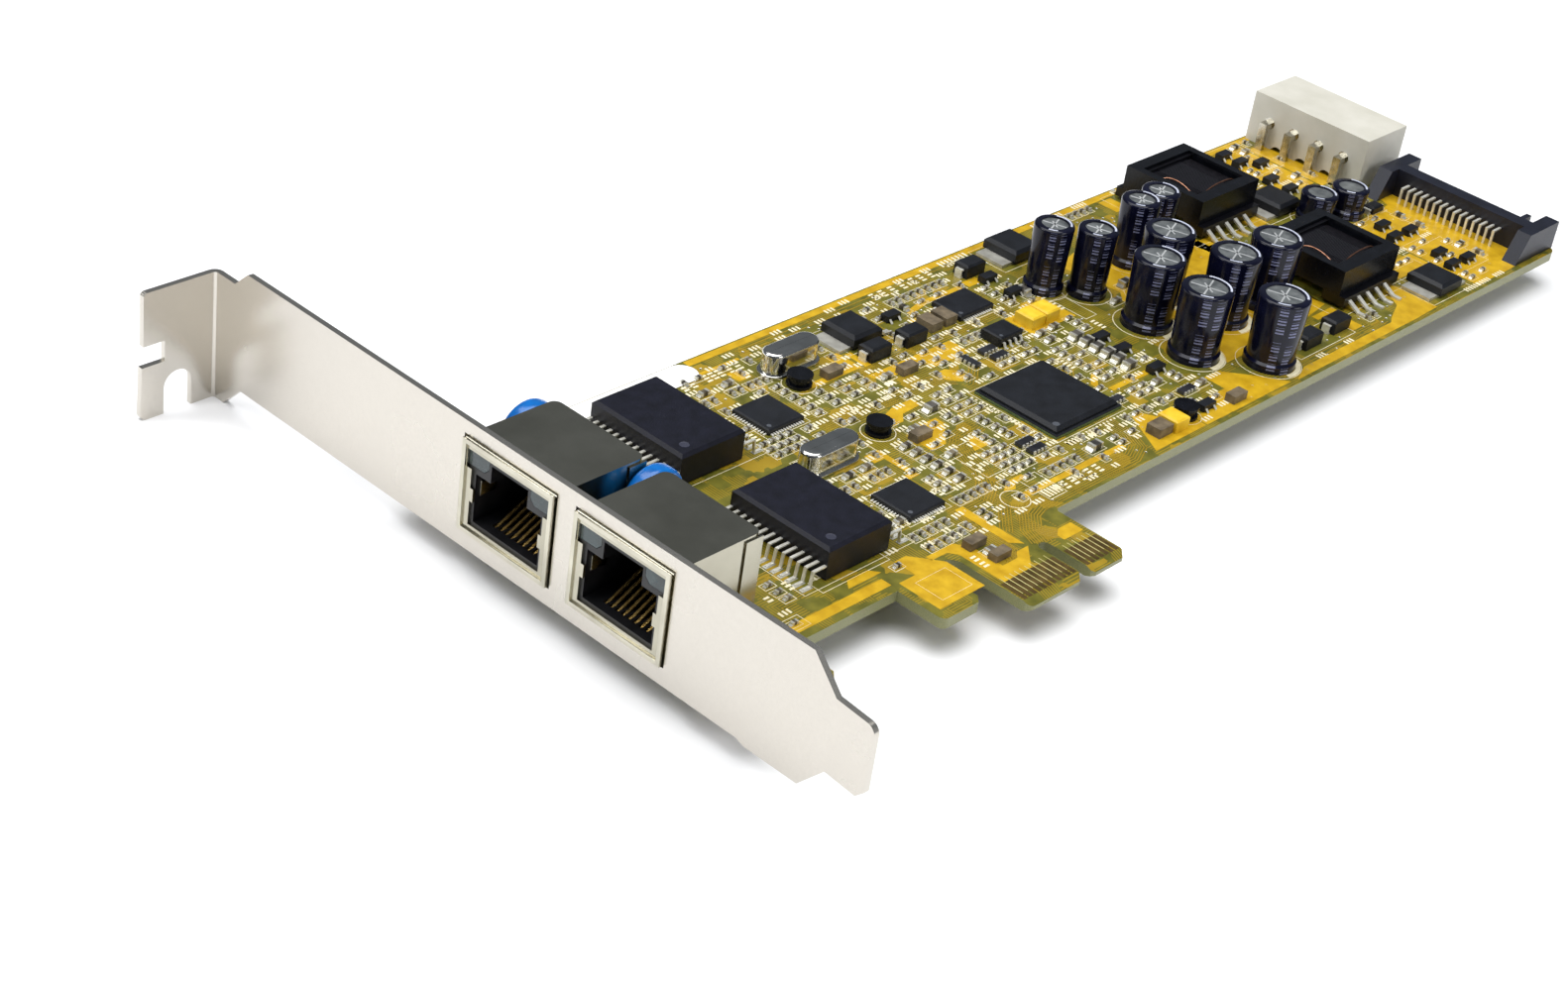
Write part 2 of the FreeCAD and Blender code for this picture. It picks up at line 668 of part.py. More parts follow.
def make_bracket():
    """One sheet: strip, folded tab with its screw slot, tongue, jack windows and board lugs."""
    tongue_start = TONGUE_END + TONGUE_LENGTH
    tab_end = -TAB_LENGTH - TAB_EAR_REACH
    face_side = [
        (tab_end, TAB_FACE),
        (0.0, TAB_FACE, FOLD_R),
        (0.0, tongue_start),
        (-TONGUE_LEAN, TONGUE_END),
        (SHEET - TONGUE_LEAN, TONGUE_END),
        (SHEET, tongue_start),
        (SHEET, TAB_FACE + SHEET, FOLD_R + SHEET),
        (tab_end, TAB_FACE + SHEET),
    ]
    sheet = prism("xy", face_side, TAB_BOTTOM - OVERCUT, STRIP_TOP + OVERCUT)

    skirt = STRIP_BOTTOM - SKIRT_DROP
    tongue_top = STRIP_TOP - TAPER_DROP
    tongue_low = tongue_top - TONGUE_W
    shoulder_y = TAB_FACE - FOLD_ZONE
    foot_y = shoulder_y + FOLD_FOOT
    past_tab = TAB_FACE + SHEET + OVERCUT
    strip_outline = [
        (past_tab, TAB_TOP),
        (shoulder_y, TAB_TOP),
        (shoulder_y - FOLD_SLOPE, STRIP_TOP, STRIP_CORNER_R),
        (TAPER_START, STRIP_TOP),
        (tongue_start, tongue_top),
        (TONGUE_END, tongue_top, TONGUE_R),
        (TONGUE_END, tongue_low + TONGUE_R),
        (TONGUE_END + TONGUE_R, tongue_low),
        (tongue_start, tongue_low),
        (TAPER_START - TAPER_CORNER, skirt),
        (SKIRT_TOP, skirt),
        (SKIRT_TOP + SKIRT_STEP, STRIP_BOTTOM),
        (foot_y - (STRIP_BOTTOM - TAB_BOTTOM), STRIP_BOTTOM),
        (foot_y, TAB_BOTTOM, STRIP_CORNER_R),
        (past_tab, TAB_BOTTOM),
    ]
    strip_limit = prism("yz", strip_outline, tab_end - OVERCUT, SHEET + OVERCUT)

    slot_left = -SCREW_SLOT_X - SCREW_SLOT_R
    slot_right = -SCREW_SLOT_X + SCREW_SLOT_R
    slot_centre_z = TAB_BOTTOM + SCREW_SLOT_DEPTH - SCREW_SLOT_R
    notch_x = -TAB_LENGTH + TAB_NOTCH_DEPTH
    tab_outline = [
        (SHEET + OVERCUT, TAB_BOTTOM - OVERCUT),
        (SHEET + OVERCUT, STRIP_TOP + OVERCUT),
        (-FOLD_R, STRIP_TOP + OVERCUT),
        (-FOLD_R, TAB_TOP),
        (-TAB_LENGTH, TAB_TOP, TAB_CORNER_R),
        (-TAB_LENGTH, TAB_NOTCH_HIGH),
        (notch_x, TAB_NOTCH_HIGH),
        (notch_x, TAB_NOTCH_LOW),
        (-TAB_LENGTH - TAB_EAR_REACH * TAB_SHOULDER, TAB_NOTCH_LOW),
        (tab_end, TAB_BOTTOM, TAB_EAR_R),
        (slot_left, TAB_BOTTOM),
        (slot_left, slot_centre_z),
        (slot_right, slot_centre_z),
        (slot_right, TAB_BOTTOM),
        (-FOLD_R, TAB_BOTTOM),
        (-FOLD_R, TAB_BOTTOM - OVERCUT),
    ]
    tab_limit = prism("xz", tab_outline, TONGUE_END - OVERCUT, past_tab)
    slot_round = Part.makeCylinder(SCREW_SLOT_R, SHEET + 2.0 * OVERCUT,
                                   Vector(-SCREW_SLOT_X, TAB_FACE - OVERCUT, slot_centre_z),
                                   Vector(0, 1, 0))
    bracket = sheet.common(strip_limit).common(tab_limit).cut(slot_round)

    half = JACK_W / 2.0 + JACK_WINDOW_GAP
    windows = []
    for centre in JACK_CENTRES.values():
        windows.append(block(-OVERCUT, SHEET + OVERCUT, centre - half, centre + half,
                             -JACK_WINDOW_GAP / 2.0, JACK_H + JACK_WINDOW_GAP))
    bracket = without(bracket, windows)

    for x, y in SCREW_PLACES:
        low = y - LUG_W / 2.0
        high = y + LUG_W / 2.0
        lug_shape = [
            (0.0, low), (LUG_REACH - LUG_CORNER, low), (LUG_REACH, low + LUG_CORNER),
            (LUG_REACH, high - LUG_CORNER), (LUG_REACH - LUG_CORNER, high), (0.0, high),
        ]
        lug = prism("xy", lug_shape, STRIP_BOTTOM, LUG_TOP)
        collar = peg(x, y, STRIP_BOTTOM, -BOARD_T, SCREW_R + COLLAR_WALL, ROUND_SIDES)
        bracket = fused([bracket, lug, collar])
        bracket = bracket.cut(peg(x, y, STRIP_BOTTOM - OVERCUT, OVERCUT, SCREW_R, ROUND_SIDES))
    return bracket


def make_screws():
    """Pan-head screws that clamp the board on the bracket's lugs."""
    screws = []
    arm = SCREW_DRIVE_W / 2.0
    floor = SCREW_HEAD_H - SCREW_DRIVE_DEPTH
    above = SCREW_HEAD_H + OVERCUT
    for x, y in SCREW_PLACES:
        screw = upright(x, y, [(0.0, STRIP_BOTTOM), (SCREW_R, STRIP_BOTTOM), (SCREW_R, 0.0),
                               (SCREW_HEAD_R, 0.0), (SCREW_HEAD_R, SCREW_HEAD_H / 2.0),
                               (SCREW_CROWN_R, SCREW_HEAD_H), (0.0, SCREW_HEAD_H)], ROUND_SIDES)
        recess = [block(x - SCREW_DRIVE_REACH, x + SCREW_DRIVE_REACH, y - arm, y + arm,
                        floor, above),
                  block(x - arm, x + arm, y - SCREW_DRIVE_REACH, y + SCREW_DRIVE_REACH,
                        floor, above)]
        screws.append(without(screw, recess))
    return screws


def window_corners(centre, grow):
    """The stepped window of a jack: wide at the light pipes, narrower at the plug."""
    low = WINDOW_LOW_W / 2.0 + grow
    top = WINDOW_TOP_W / 2.0 + grow
    return [
        (centre - low, WINDOW_LOW_Z - grow), (centre + low, WINDOW_LOW_Z - grow),
        (centre + low, WINDOW_STEP_Z - grow), (centre + top, WINDOW_STEP_Z - grow),
        (centre + top, WINDOW_TOP_Z + grow), (centre - top, WINDOW_TOP_Z + grow),
        (centre - top, WINDOW_STEP_Z - grow), (centre - low, WINDOW_STEP_Z - grow),
    ]


def make_shield(centre):
    """Folded sheet can of a jack, with a rear cover whose flanges wrap the sides."""
    low = jack_side(centre, -1)
    high = jack_side(centre, 1)
    can = block(JACK_FRONT, JACK_BACK, low, high, 0.0, JACK_H)
    rolled = [edge for edge in can.Edges
              if edge.BoundBox.XMax < JACK_FRONT + 1e-6 and edge.BoundBox.ZMin > JACK_H - 1e-6]
    can = can.makeFillet(JACK_TOP_R, rolled)
    rear = [edge for edge in can.Edges
            if edge.BoundBox.XMin > JACK_BACK - 1e-6 and edge.Length > JACK_H - 1.0
            and edge.BoundBox.YLength < 1e-6]
    can = can.makeFillet(JACK_REAR_R, rear)
    inside = block(JACK_FRONT + JACK_SHEET, JACK_BACK - JACK_SHEET,
                   low + JACK_SHEET, high - JACK_SHEET, -1.0, JACK_H - JACK_SHEET)
    can = can.cut(inside)
    can = can.cut(prism("yz", window_corners(centre, 0.0), JACK_FRONT - 1.0,
                        JACK_FRONT + JACK_SHEET + 0.01))
    pieces = [can]
    for side in (-1, 1):
        wall = jack_side(centre, side)
        outer = wall + side * FLANGE_T
        pieces.append(block(JACK_BACK - FLANGE_REACH, JACK_BACK, min(wall, outer),
                            max(wall, outer), FLANGE_DROP, JACK_H - FLANGE_DROP))
        inner = wall - side * JACK_SHEET
        for x in SHIELD_TAIL_XS:
            pieces.append(block(x - SHIELD_TAIL_W / 2.0, x + SHIELD_TAIL_W / 2.0,
                                min(wall, inner), max(wall, inner), -TAIL_DEPTH, 0.0))
        edge = centre + side * WINDOW_LOW_W / 2.0
        tip = edge - side * GROUND_TAB_REACH
        pieces.append(block(JACK_FRONT, JACK_FRONT + JACK_SHEET, min(edge, tip), max(edge, tip),
                            GROUND_TAB_Z - GROUND_TAB_W / 2.0,
                            GROUND_TAB_Z + GROUND_TAB_W / 2.0))
    return fused(pieces)


def pipe_corners(centre, side, grow):
    """Section of one light pipe, in an upper corner of the jack's window."""
    outer = centre + side * (WINDOW_TOP_W / 2.0 - PIPE_SIDE_GAP + grow)
    inner = centre + side * (WINDOW_TOP_W / 2.0 - PIPE_SIDE_GAP - PIPE_W - grow)
    top = WINDOW_TOP_Z - PIPE_TOP_GAP + grow
    low = WINDOW_TOP_Z - PIPE_TOP_GAP - PIPE_H - grow
    return [(outer, low), (outer, top), (inner, top), (inner, low + PIPE_CUT),
            (inner + side * PIPE_CUT, low)]


def make_jack_housing(centre):
    """Moulded insert with the plug cavity, latch recess, pipe channels and wire slots."""
    front = JACK_FRONT + JACK_SHEET + JACK_FIT
    back = JACK_BACK - JACK_SHEET - JACK_FIT
    half = JACK_W / 2.0 - JACK_SHEET - JACK_FIT
    body = block(front, back, centre - half, centre + half, 0.0, JACK_H - JACK_SHEET - JACK_FIT)
    plug = block(front - 1.0, front + PLUG_DEPTH, centre - PLUG_W / 2.0, centre + PLUG_W / 2.0,
                 PLUG_LOW_Z, PLUG_TOP_Z)
    latch = block(front - 1.0, front + PLUG_DEPTH, centre - LATCH_W / 2.0, centre + LATCH_W / 2.0,
                  PLUG_TOP_Z - 0.1, LATCH_TOP_Z)
    cutters = [plug, latch]
    for side in (-1, 1):
        cutters.append(prism("yz", pipe_corners(centre, side, JACK_FIT), front - 1.0,
                             PIPE_BACK + JACK_FIT))
    for i, y in enumerate(jack_wire_ys(centre)):
        cutters.append(block(WIRE_FRONT - 2.0 * WIRE_T, jack_wire_tail(i) + 2.0 * WIRE_T,
                             y - WIRE_SLOT_W / 2.0, y + WIRE_SLOT_W / 2.0, -1.0,
                             PLUG_LOW_Z + 0.1))
    return without(body, cutters)


def make_jack_contacts(centre):
    """Eight spring wires: a rising contact leg, a front bend and a tail through the board."""
    wires = []
    for i, y in enumerate(jack_wire_ys(centre)):
        tail = jack_wire_tail(i)
        route = [(WIRE_TIP_X, WIRE_TIP_Z), (WIRE_FRONT, WIRE_BEND_Z), (WIRE_FRONT, WIRE_FOOT_Z),
                 (tail, WIRE_FOOT_Z), (tail, -TAIL_DEPTH)]
        wires.append(ribbon("xz", route, WIRE_T, y - WIRE_W / 2.0, y + WIRE_W / 2.0))
    return wires


def make_light_pipes(centre):
    """Clear bars that carry the port lights to the front."""
    front = JACK_FRONT + JACK_SHEET + JACK_FIT
    return [prism("yz", pipe_corners(centre, side, 0.0), front, PIPE_BACK) for side in (-1, 1)]


def make_disc(place):
    """Dipped disc capacitor on its two leads, one sealed piece."""
    centre_x, y = disc_place(place)
    z = DISC_TOP_Z - DISC_R
    half = DISC_T / 2.0
    rim = [(0.0, -half), (DISC_R - DISC_RIM, -half), (DISC_R, -half + DISC_RIM),
           (DISC_R, half - DISC_RIM), (DISC_R - DISC_RIM, half), (0.0, half)]
    disc = turned(Vector(centre_x, y, z), Vector(0, 1, 0), Vector(1, 0, 0), rim, CAN_SIDES)
    leads = [peg(x, y, -TAIL_DEPTH, z, DISC_LEAD_R, DRILL_SIDES)
             for x in evenly(2, DISC_LEAD_PITCH, centre_x)]
    return fused([disc] + leads)


def make_pulse_body(centre):
    """Moulded body of a pulse transformer."""
    return chamfered_block(PULSE_CENTRE_X - PULSE_W / 2.0, PULSE_CENTRE_X + PULSE_W / 2.0,
                           centre - PULSE_LENGTH / 2.0, centre + PULSE_LENGTH / 2.0,
                           PULSE_STANDOFF, PULSE_TOP, PULSE_CHAMFER)


def gull_wing(origin, side, reach, foot, shoulder, height, thickness):
    """Centre line of a gull-wing lead that leaves a body's side and lands on the board."""
    return [(origin, height), (origin + side * shoulder, height),
            (origin + side * (reach - foot), thickness / 2.0),
            (origin + side * reach, thickness / 2.0)]


def make_pulse_leads(centre):
    leads = []
    for side in (-1, 1):
        wall = PULSE_CENTRE_X + side * PULSE_W / 2.0
        route = gull_wing(wall, side, PULSE_LEAD_REACH, PULSE_LEAD_FOOT, PULSE_LEAD_SHOULDER,
                          PULSE_LEAD_Z, PULSE_LEAD_T)
        for y in evenly(PULSE_LEAD_COUNT, PULSE_LEAD_PITCH, centre):
            leads.append(ribbon("xz", route, PULSE_LEAD_T, y - PULSE_LEAD_W / 2.0,
                                y + PULSE_LEAD_W / 2.0))
    return leads


def stadium(x, y, length, width, low, high):
    """A bar with round ends, as a crystal's can is drawn, with few flats."""
    radius = width / 2.0
    half = length / 2.0 - radius
    steps = PIN_SIDES // 2
    corners = []
    for middle, start in ((x + half, -math.pi / 2.0), (x - half, math.pi / 2.0)):
        for i in range(steps + 1):
            angle = start + math.pi * i / steps
            corners.append((middle + radius * math.cos(angle), y + radius * math.sin(angle)))
    return prism("xy", corners, low, high)


def make_crystal(place):
    """Drawn metal can welded on its rim."""
    x, y = place
    rim = stadium(x, y, CRYSTAL_LENGTH, CRYSTAL_W, 0.0, CRYSTAL_RIM_T)
    can = stadium(x, y, CRYSTAL_LENGTH - 2.0 * CRYSTAL_RIM, CRYSTAL_W - 2.0 * CRYSTAL_RIM,
                  0.0, CRYSTAL_TOP)
    top = [edge for edge in can.Edges if edge.BoundBox.ZMin > CRYSTAL_TOP - 1e-6]
    return fused([rim, can.makeChamfer(CRYSTAL_TOP_R, top)])


def make_chip(chip):
    x, y, length, width, height = chip
    return chamfered_block(x - length / 2.0, x + length / 2.0, y - width / 2.0, y + width / 2.0,
                           0.0, height, CHIP_CHAMFER)


def make_bridge_chip():
    """Laminate base with a moulded cap set in from its edge."""
    x, y, length, width, height = BRIDGE_CHIP
    base = block(x - length / 2.0, x + length / 2.0, y - width / 2.0, y + width / 2.0,
                 0.0, BRIDGE_BASE_T)
    cap = chamfered_block(x - length / 2.0 + BRIDGE_CAP_INSET, x + length / 2.0 - BRIDGE_CAP_INSET,
                          y - width / 2.0 + BRIDGE_CAP_INSET, y + width / 2.0 - BRIDGE_CAP_INSET,
                          BRIDGE_BASE_T, height, BRIDGE_CAP_INSET)
    return fused([base, cap])


def make_memory_leads():
    x, y, length, width, height = MEMORY_CHIP
    leads = []
    for side in (-1, 1):
        wall = y + side * width / 2.0
        route = gull_wing(wall, side, MEMORY_LEAD_REACH, MEMORY_LEAD_REACH * 0.45,
                          MEMORY_LEAD_REACH * 0.25, height * 0.45, MEMORY_LEAD_T)
        for lead_x in evenly(MEMORY_LEAD_COUNT, MEMORY_LEAD_PITCH, x):
            leads.append(ribbon("yz", route, MEMORY_LEAD_T, lead_x - MEMORY_LEAD_W / 2.0,
                                lead_x + MEMORY_LEAD_W / 2.0))
    return leads


def make_capacitor(place):
    """Sleeved can: crimped groove over the seal and a drawn-in shoulder at the top."""
    x, y, radius, height = place
    return upright(x, y, [
        (0.0, 0.0), (radius, 0.0), (radius, CAN_GROOVE_Z - CAN_GROOVE),
        (radius - CAN_GROOVE, CAN_GROOVE_Z), (radius, CAN_GROOVE_Z + CAN_GROOVE),
        (radius, height - CAN_EDGE), (radius - CAN_EDGE, height), (0.0, height),
    ], CAN_SIDES)


def power_window(centre):
    """The core's window: low and high x, low and high y."""
    return (POWER_CENTRE_X - CORE_W / 2.0 + CORE_SIDE, POWER_CENTRE_X + CORE_W / 2.0 - CORE_SIDE,
            centre - CORE_LENGTH / 2.0 + CORE_END, centre + CORE_LENGTH / 2.0 - CORE_END)


def core_leg(centre, grow):
    """The core's centre leg, or the hole that it fills."""
    return block(POWER_CENTRE_X - CORE_LEG_W / 2.0 - grow, POWER_CENTRE_X + CORE_LEG_W / 2.0 + grow,
                 centre - CORE_LENGTH / 2.0, centre + CORE_LENGTH / 2.0,
                 CORE_LEG_Z - CORE_LEG_H / 2.0 - grow, CORE_LEG_Z + CORE_LEG_H / 2.0 + grow)


def lead_rails(centre):
    """The bobbin's two bars under the core's ends, which carry the leads."""
    rails = []
    for side in (-1, 1):
        outer = centre + side * (CORE_LENGTH / 2.0 + RAIL_REACH)
        inner = centre + side * (CORE_LENGTH / 2.0 - RAIL_DEPTH)
        rails.append(block(POWER_CENTRE_X - CORE_W / 2.0, POWER_CENTRE_X + CORE_W / 2.0,
                           min(outer, inner), max(outer, inner), RAIL_LOW, CORE_LOW))
    return rails


def make_core(centre):
    """Ferrite ring round the winding, with its centre leg through the bobbin."""
    x0, x1, y0, y1 = power_window(centre)
    frame = block(POWER_CENTRE_X - CORE_W / 2.0, POWER_CENTRE_X + CORE_W / 2.0,
                  centre - CORE_LENGTH / 2.0, centre + CORE_LENGTH / 2.0, CORE_LOW, CORE_TOP)
    frame = frame.cut(block(x0, x1, y0, y1, CORE_LOW - OVERCUT, CORE_TOP + OVERCUT))
    return fused([frame, core_leg(centre, 0.0)])


def make_bobbin(centre):
    """Moulded bobbin: two end flanges, the tube round the leg and a lead rail at each end."""
    x0, x1, y0, y1 = power_window(centre)
    x0 += BOBBIN_FIT
    x1 -= BOBBIN_FIT
    y0 += BOBBIN_FIT
    y1 -= BOBBIN_FIT
    tube = core_leg(centre, BOBBIN_FIT + BOBBIN_WALL)
    tube = tube.common(block(x0, x1, y0, y1, 0.0, CORE_TOP))
    flanges = [block(x0, x1, y0, y0 + BOBBIN_WALL, RAIL_LOW, BOBBIN_FLANGE_TOP),
               block(x0, x1, y1 - BOBBIN_WALL, y1, RAIL_LOW, BOBBIN_FLANGE_TOP)]
    bobbin = fused([tube] + flanges + lead_rails(centre))
    return bobbin.cut(core_leg(centre, BOBBIN_FIT))


def make_winding(centre):
    """Taped winding that fills the bobbin between its flanges."""
    x0, x1, y0, y1 = power_window(centre)
    inset = BOBBIN_FIT + BOBBIN_WALL
    left = x0 + inset
    right = x1 - inset
    coil = prism("xz", [
        (left + WINDING_CUT, WINDING_LOW), (right - WINDING_CUT, WINDING_LOW),
        (right, WINDING_LOW + WINDING_CUT), (right, WINDING_TOP - WINDING_CUT),
        (right - WINDING_CUT, WINDING_TOP), (left + WINDING_CUT, WINDING_TOP),
        (left, WINDING_TOP - WINDING_CUT), (left, WINDING_LOW + WINDING_CUT),
    ], y0 + inset, y1 - inset)
    return without(coil, lead_rails(centre) + [core_leg(centre, BOBBIN_FIT + BOBBIN_WALL)])


def make_power_leads(centre):
    """Short bent leads from the bobbin's rails to the board."""
    leads = []
    height = (RAIL_LOW + CORE_LOW) / 2.0
    places = evenly(POWER_LEAD_PLACE_COUNT, POWER_LEAD_PITCH, POWER_CENTRE_X)
    for side in (-1, 1):
        wall = centre + side * (CORE_LENGTH / 2.0 + RAIL_REACH)
        end = wall + side * POWER_LEAD_REACH[side]
        bend = end - side * POWER_LEAD_FOOT[side]
        for x in places[:POWER_LEAD_COUNTS[side]]:
            leads.append(drooping("yz", wall, bend, end, height, POWER_LEAD_T,
                                  x - POWER_LEAD_W / 2.0, x + POWER_LEAD_W / 2.0))
    return leads


def make_four_housing():
    """Open-fronted shroud of the four-pin power connector, keyed by two cut corners."""
    low = FOUR_CENTRE_Y - FOUR_W / 2.0
    high = FOUR_CENTRE_Y + FOUR_W / 2.0
    front = FOUR_X + FOUR_DEPTH
    body = block(FOUR_X, front, low, high, 0.0, FOUR_TOP)
    left = low + FOUR_WALL
    right = high - FOUR_WALL
    inner_top = FOUR_TOP - FOUR_WALL
    cut_z = inner_top - FOUR_CHAMFER
    cutters = [prism("yz", [(left, FOUR_WALL), (right, FOUR_WALL), (right, cut_z),
                            (right - FOUR_CHAMFER, inner_top), (left + FOUR_CHAMFER, inner_top),
                            (left, cut_z)], FOUR_X + FOUR_BACK, front + OVERCUT)]
    for y in FOUR_PIN_YS:
        cutters.append(bar(FOUR_X - OVERCUT, FOUR_X + FOUR_BACK + OVERCUT, y, FOUR_PIN_Z,
                           FOUR_PIN_R, PIN_SIDES))
    for y in evenly(FOUR_PIN_COUNT - 1, FOUR_PITCH, FOUR_CENTRE_Y):
        cutters.append(bar(FOUR_X - OVERCUT, FOUR_X + FOUR_ARCH_DEPTH, y, FOUR_ARCH_Z,
                           FOUR_ARCH_R, PIN_SIDES))
    return without(body, cutters)


def make_four_pins():
    """Round pins with a flattened tail that bends down through the board."""
    pins = []
    tip = FOUR_X + FOUR_DEPTH - FOUR_PIN_STOP
    for y in FOUR_PIN_YS:
        pin = bar(FOUR_X, tip, y, FOUR_PIN_Z, FOUR_PIN_R, PIN_SIDES)
        tail = ribbon("xz", [(FOUR_X + FOUR_TAIL_GRIP, FOUR_PIN_Z), (FOUR_TAIL_X, FOUR_PIN_Z),
                             (FOUR_TAIL_X, -FOUR_TAIL_DEPTH)],
                      FOUR_TAIL_T, y - FOUR_TAIL_W / 2.0, y + FOUR_TAIL_W / 2.0)
        pins.append(fused([pin, tail]))
    return pins


def make_flat_housing():
    """Low bar with a guide arm at each end and the L-shaped contact tongue between them."""
    arm = [(FLAT_ARM_FOOT, 0.0), (FLAT_ARM_END, 0.0), (FLAT_ARM_END, FLAT_TOP),
           (FLAT_ARM_SHOULDER, FLAT_TOP)]
    tongue_low = FLAT_LEAD_YS[0] - FLAT_TONGUE_LEFT
    tongue_high = FLAT_LEAD_YS[-1] + FLAT_TONGUE_RIGHT
    tongue_top = FLAT_TONGUE_LOW + FLAT_TONGUE_T
    pieces = [
        block(FLAT_BACK, FLAT_FRONT, FLAT_NEAR, FLAT_FAR, 0.0, FLAT_TOP),
        prism("xz", arm, FLAT_NEAR, FLAT_NEAR + FLAT_ARM_W),
        prism("xz", arm, FLAT_FAR - FLAT_ARM_W, FLAT_FAR),
        block(FLAT_FRONT, FLAT_TONGUE_END, tongue_low, tongue_high, FLAT_TONGUE_LOW, tongue_top),
        block(FLAT_FRONT, FLAT_TONGUE_END, tongue_low, tongue_low + FLAT_KEY_T,
              FLAT_TONGUE_LOW, FLAT_KEY_TOP),
    ]
    slots = [block(FLAT_BACK - OVERCUT, FLAT_FRONT + OVERCUT, y - FLAT_LEAD_W / 2.0,
                   y + FLAT_LEAD_W / 2.0, tongue_top, tongue_top + FLAT_LEAD_T)
             for y in FLAT_LEAD_YS]
    return without(fused(pieces), slots)


def make_flat_contacts():
    """Fifteen leads, each bent from the board up through the bar and along the tongue."""
    leads = []
    level = FLAT_TONGUE_LOW + FLAT_TONGUE_T + FLAT_LEAD_T / 2.0
    for y in FLAT_LEAD_YS:
        route = [(FLAT_LEAD_X, -TAIL_DEPTH), (FLAT_LEAD_X, level), (FLAT_TONGUE_END - FLAT_LEAD_STOP, level)]
        leads.append(ribbon("xz", route, FLAT_LEAD_T, y - FLAT_LEAD_W / 2.0, y + FLAT_LEAD_W / 2.0))
    return leads


def make_switch_bodies():
    bodies = []
    for x, y in SWITCHES:
        start = x + SWITCH_BODY_X
        bodies.append(chamfered_block(start, start + SWITCH_BODY_LENGTH, y - SWITCH_W / 2.0,
                                      y + SWITCH_W / 2.0, SWITCH_TAB_T, SWITCH_TOP,
                                      SWITCH_CHAMFER))
    return bodies


def make_switch_frames():
    """Tab plate under each body and its two bent leads."""
    frames = []
    for x, y in SWITCHES:
        end = x + SWITCH_BODY_X + SWITCH_BODY_LENGTH
        frames.append(block(x, x + SWITCH_BODY_X + SWITCH_TAB_GRIP, y - SWITCH_TAB_W / 2.0,
                            y + SWITCH_TAB_W / 2.0, 0.0, SWITCH_TAB_T))
        route = gull_wing(end, 1, SWITCH_LEAD_REACH, SWITCH_LEAD_REACH * 0.45,
                          SWITCH_LEAD_REACH * 0.2, SWITCH_LEAD_Z, SWITCH_LEAD_T)
        for lead_y in evenly(2, SWITCH_LEAD_PITCH, y):
            frames.append(ribbon("xz", route, SWITCH_LEAD_T, lead_y - SWITCH_LEAD_W / 2.0,
                                 lead_y + SWITCH_LEAD_W / 2.0))
    return frames


def make_diodes():
    return [chamfered_block(x, x + length, y, y + width, 0.0, height, DIODE_CHAMFER)
            for x, y, length, width, height in DIODES]


def make_diode_leads():
    """J-shaped end straps of the rectifier diodes."""
    leads = []
    for x, y, length, width, height in DIODES:
        middle = y + width / 2.0
        level = height * DIODE_LEAD_SHARE
        for end, side in ((x, -1), (x + length, 1)):
            route = [(end, level), (end + side * DIODE_LEAD_REACH, level),
                     (end + side * DIODE_LEAD_REACH, DIODE_LEAD_T / 2.0),
                     (end, DIODE_LEAD_T / 2.0)]
            leads.append(ribbon("xz", route, DIODE_LEAD_T, middle - DIODE_LEAD_W / 2.0,
                                middle + DIODE_LEAD_W / 2.0))
    return leads


def make_transistors():
    return [block(x - TRANSISTOR_LENGTH / 2.0, x + TRANSISTOR_LENGTH / 2.0,
                  y - TRANSISTOR_W / 2.0, y + TRANSISTOR_W / 2.0, TRANSISTOR_LIFT, TRANSISTOR_TOP)
            for x, y in TRANSISTORS]


def make_transistor_leads():
    """Three short leads a package, sloping from its sides to the board."""
    leads = []
    height = TRANSISTOR_TOP / 2.0
    for x, y in TRANSISTORS:
        for side, places in ((-1, evenly(2, TRANSISTOR_LEAD_PITCH, x)), (1, [x])):
            wall = y + side * TRANSISTOR_W / 2.0
            end = wall + side * TRANSISTOR_LEAD_REACH
            for lead_x in places:
                leads.append(drooping("yz", wall, end, end, height, TRANSISTOR_LEAD_T,
                                      lead_x - TRANSISTOR_LEAD_W / 2.0,
                                      lead_x + TRANSISTOR_LEAD_W / 2.0))
    return leads


def make_tantalums():
    return [chamfered_block(x, x + TANTALUM_W, y, y + TANTALUM_LENGTH, 0.0, TANTALUM_TOP,
                            TANTALUM_CHAMFER) for x, y in TANTALUMS]


def make_drums():
    """Ferrite bobbins: two round flanges on a waist."""
    upper = DRUM_TOP - DRUM_FLANGE
    profile = [(0.0, 0.0), (DRUM_R, 0.0), (DRUM_R, DRUM_FLANGE), (DRUM_WAIST_R, DRUM_FLANGE),
               (DRUM_WAIST_R, upper), (DRUM_R, upper), (DRUM_R, DRUM_TOP), (0.0, DRUM_TOP)]
    return [upright(x, y, profile, ROUND_SIDES) for x, y in DRUMS]


def make_ceramics():
    return [block(x, x + length, y, y + width, 0.0, height)
            for x, y, length, width, height in CERAMICS]


def export(name, shapes):
    """Write one node, moved so that x is counted from the key notch."""
    solids = shapes if isinstance(shapes, list) else [shapes]
    moved = []
    for solid in solids:
        copy = solid.copy()
        copy.translate(Vector(-KEY, 0, 0))
        moved.extend(copy.Solids)
    shape = moved[0] if len(moved) == 1 else Part.makeCompound(moved)
    shape.exportStep(os.path.join("parts", name + ".step"))


